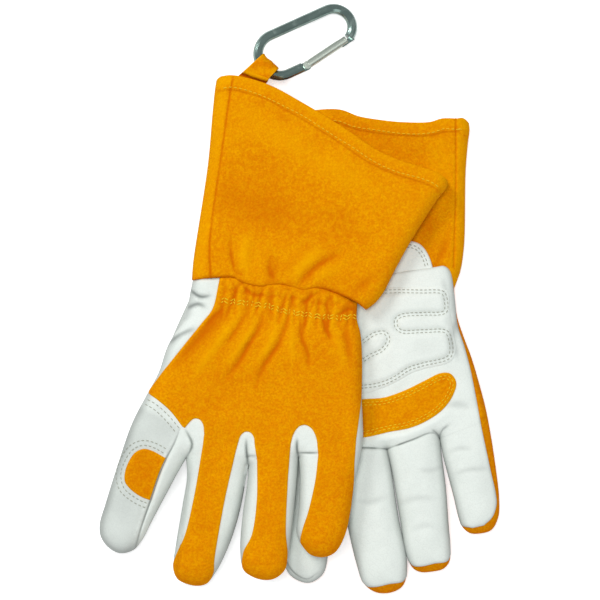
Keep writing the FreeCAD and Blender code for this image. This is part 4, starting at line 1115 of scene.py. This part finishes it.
right_cuff_form, r_hem = cuff(
    "right", RIGHT_CUFF,
    [(-53, -6), (-56, 6), (-67, 60), (-76, 98), (-79.5, 116), (-79, 122)],
    [(51.2, -4), (54.6, 2), (58.4, 9), (61, 16), (64.4, 29), (72.2, 73), (76.6, 91), (78.6, 98), (79, 102.6)],
    [(-79, 124), (-50, 126.4), (-25, 126.6), (-2.1, 124.2), (9.4, 118), (22.3, 113.6), (36, 110),
     (53.7, 107.2), (62, 108.2), (71, 106.8), (76, 106), (79, 102.6)],
    [(-53, -6), (-40, 2), (-20, 5), (0, 5), (25, 4), (44, 0), (51.2, -4)],
    RIGHT_LOW, 13.0, "right_glove", 9.5,
    [([(60, 96), (52, 70), (46, 40)], 8.0, 0.6), ([(36, 30), (44, 50), (46, 76)], 6.0, -0.6),
     ([(40, 14), (48, 22), (54, 34)], 2.4, -0.8)],
    [(70.6, 105.8), (66, 76), (60.4, 44), (54.6, 13)], -0.6, 8.6)
for name, form, hem, gaps, body in (("left", left_cuff_form, l_hem, (8.0, 7.3), "left_cuff"),
                                    ("right", right_cuff_form, r_hem, (7.2, 7.2), "right_glove")):
    row = beside(hem, -np.interp(along(hem) / along(hem)[-1], [0.2, 0.5], gaps)[:, None])
    row[:, 1] += 0.35 * np.sin(along(row) / 7.0)
    sew(name + "_hem_stitch", form, row[1:-2], PALE, HEM_ROW, body)

# ------------------------------------------------------------------ the scalloped tab

TAB_ARC = [(6, 24), (14, 32), (24, 35), (31, 33.6), (35.6, 30.6), (39.2, 24)]
TAB = joined(smooth([(2, 10), *TAB_ARC, (41, 15), (41, 8)], steps=6), [(36, 4), (10, 4)])


def tab_top(points):
    height = 12.9 + 0.8 * rounded(distance(points, closed(TAB)), 2.0) - 0.5 * step_up(-points[:, 1], -10, 10)
    return height, np.zeros(len(points))


tab_form = Form(RIGHT_HAND, RIGHT_EDGE, tab_top, right_face.bottom)
panel("right_tab", tab_form, TAB, WHITE, "right_cuff_tab", body="right_glove", thick=1.3, roll=1.4)
for k, gap in enumerate((2.6, 4.4)):
    row = beside(smooth(TAB_ARC + [(40.6, 17)], steps=6), -gap)
    sew("right_tab_stitch_%d" % k, tab_form, row, GREY, FINE, "right_glove", lift=1.5)

LEFT_TAB = smooth([(15, 7), (40, 7), (43, 12), (43.6, 22), (38, 28), (28, 32), (20, 27), (15.4, 16)],
                  True, 5)[:-1]
panel("left_tab", left_cuff_form, LEFT_TAB, WHITE, "left_cuff_tab", body="left_cuff", side=-1,
      rim_tone=RIM_SHADE)

# ------------------------------------------------------------------ the strap loop

STRAP_THICK, STRAP_SLANT = 1.45, 0.5
STRAP_WIDE = [18, 16.5, 15.4, 14.2, 13.6, 13.4, 13.6, 14, 15.6, 17]  # from its inner end to its other end
STRAP_HEM = -8.2  # how far from the rod the strap comes out of the cuff


def strap(centre, turn, path):
    """A strap whose middle runs along a path of (outward, height) points. Its inner end is
    cut along the cuff's mouth, at a slant, and goes down into it there."""
    out, across = (np.append(axis, 0) for axis in place((0, 0), turn)[1])
    path = smooth(path, steps=6)
    half_section = [(-1, -0.7), (-0.96, -1), (-0.5, -1), (0, -1), (0.5, -1), (0.96, -1), (1, -0.7)]
    section = smooth(half_section + [(-x, -y) for x, y in half_section], True, 4)[:-1]
    count, verts, tone = len(section), [], []
    share = along(path) / along(path)[-1]
    widths = np.interp(share, np.linspace(0, 1, len(STRAP_WIDE)), STRAP_WIDE)
    for (s, z), (ds, dz), wide in zip(path, unit(np.gradient(path, axis=0)), widths):
        half, inner = wide / 2, float(step_up(-s, 1.0, 7.0))
        for x, y in section:
            wave = math.sin(x * 3.1 + s * 0.5)
            rise = y * STRAP_THICK / 2 + (0.28 * wave + 0.14 * math.sin(x * 7 - s * 0.8))
            spot = out * (s - dz * rise - STRAP_SLANT * x * half * inner) + across * (x * half + 0.6)
            verts.append(np.array(centre) + spot + np.array([0, 0, z + ds * rise]))
            # Inside the cuff's mouth the strap carries a painted shadow; outside it, it is lighter along its
            # rims and along the rim where it turns down, and elsewhere its tone follows its ripples.
            edge = 0.8 if abs(x) > 0.88 or 0 < s - STRAP_HEM < 2.2 else -0.35 * wave
            tone.append(-1.0 if s < STRAP_HEM else edge)
    last = len(verts) - count
    faces = tube_sides(0, last, count) + [list(range(count))[::-1], list(range(last, last + count))]
    return mesh_object("strap_loop", verts, faces, ORANGE, tone)


x, y, rod = np.array(JOINTS["carabiner_swing"]["pos_m"]) * 1000
loop = strap((x, y, 0), 45, [
    (-24, 20.4), (-14, 19.8), (-9.8, 19.6), (-8.4, 20.8), (-7.5, 24.1), (-4.4, 24.3), (-1, rod + 7.8),
    (2.4, rod + 7.2), (5.2, rod + 4.8), (6.1, rod + 0.4), (4.8, rod - 4), (0.6, rod - 5.8), (-4, rod - 4),
    (-7.4, rod + 0.2), (-11, rod + 2.6), (-16, 18.6), (-24, 18.6)])
done(loop, "hang_loop", body="left_cuff")

# ------------------------------------------------------------------ camera, light and floor

# Metres, apart from the sensor's millimetres.
CAMERA_HEIGHT, VIEW_FROM, VIEW_WIDE, SENSOR = 2.52, 2.5, 0.384, 36
PAIR_MIDDLE = 16.6  # how far the middle of the pair lies beside the left wrist, in millimetres
camera = bpy.data.objects.new("camera", bpy.data.cameras.new("camera"))
bpy.context.collection.objects.link(camera)
bpy.context.scene.camera = camera
camera.location = ((LEFT_WRIST[0] + PAIR_MIDDLE) / 1000, LEFT_WRIST[1] / 1000, CAMERA_HEIGHT)
camera.data.sensor_width = SENSOR
camera.data.lens = SENSOR * VIEW_FROM / VIEW_WIDE
camera.data.clip_end = 20

floor = bpy.data.objects.new("floor", bpy.data.meshes.new("floor"))
floor.data.from_pydata([(-3, -3, 0), (3, -3, 0), (3, 3, 0), (-3, 3, 0)], [], [(0, 1, 2, 3)])
bpy.context.collection.objects.link(floor)
# The camera sees the floor lit up towards white, and its shadows; all other light doesn't.
paint = Shader("floor")
floor.data.materials.append(paint.finish(Base_Color=(0.9, 0.9, 0.9, 1), Roughness=0.9,
                                         Specular_IOR_Level=0.0))
surface, ray = paint.surface.outputs[0], paint.add("ShaderNodeLightPath").outputs
glow = paint.add("ShaderNodeEmission", {"Color": (1, 1, 1, 1), "Strength": 0.5}).outputs[0]
lit = paint.add("ShaderNodeAddShader", {0: surface, 1: glow}).outputs[0]
seen = paint.maths("MAXIMUM", ray["Is Camera Ray"], ray["Is Transmission Ray"])
chosen = paint.add("ShaderNodeMixShader", {0: seen, 1: surface, 2: lit}).outputs[0]
paint.feed(paint.tree.nodes["Material Output"], {"Surface": chosen})


def light(name, place_at, size, power):
    """A round lamp aimed at the gloves."""
    lamp = bpy.data.lights.new(name, "AREA")
    lamp.shape, lamp.size, lamp.energy = "DISK", size, power
    obj = bpy.data.objects.new(name, lamp)
    bpy.context.collection.objects.link(obj)
    obj.location = place_at
    obj.rotation_euler = (Vector((0, 0, 0.02)) - Vector(place_at)).to_track_quat("-Z", "Y").to_euler()


light("top", (-0.3, 0.4, 3.2), 1.0, 38)
light("key", (-1.0, 1.2, 1.5), 0.7, 17)
light("fill", (1.3, 0.2, 1.5), 1.4, 4)
light("front", (0.1, -1.4, 1.3), 1.2, 4)
world = bpy.data.worlds.new("studio")
world.use_nodes = True
sky = world.node_tree.nodes["Background"]
sky.inputs["Color"].default_value, sky.inputs["Strength"].default_value = (0.95, 0.97, 1, 1), 0.32
bpy.context.scene.world = world
bpy.context.scene.view_settings.view_transform = "Standard"

for node, material in (("carabiner_body", ROD), ("carabiner_gate", GATE), ("gate_rivet", GATE),
                       ("latch_pin", GATE), ("gate_plunger", GATE), ("gate_spring", SPRING)):
    obj = frame["nodes"][node]
    obj.data.materials.clear()
    obj.data.materials.append(material)
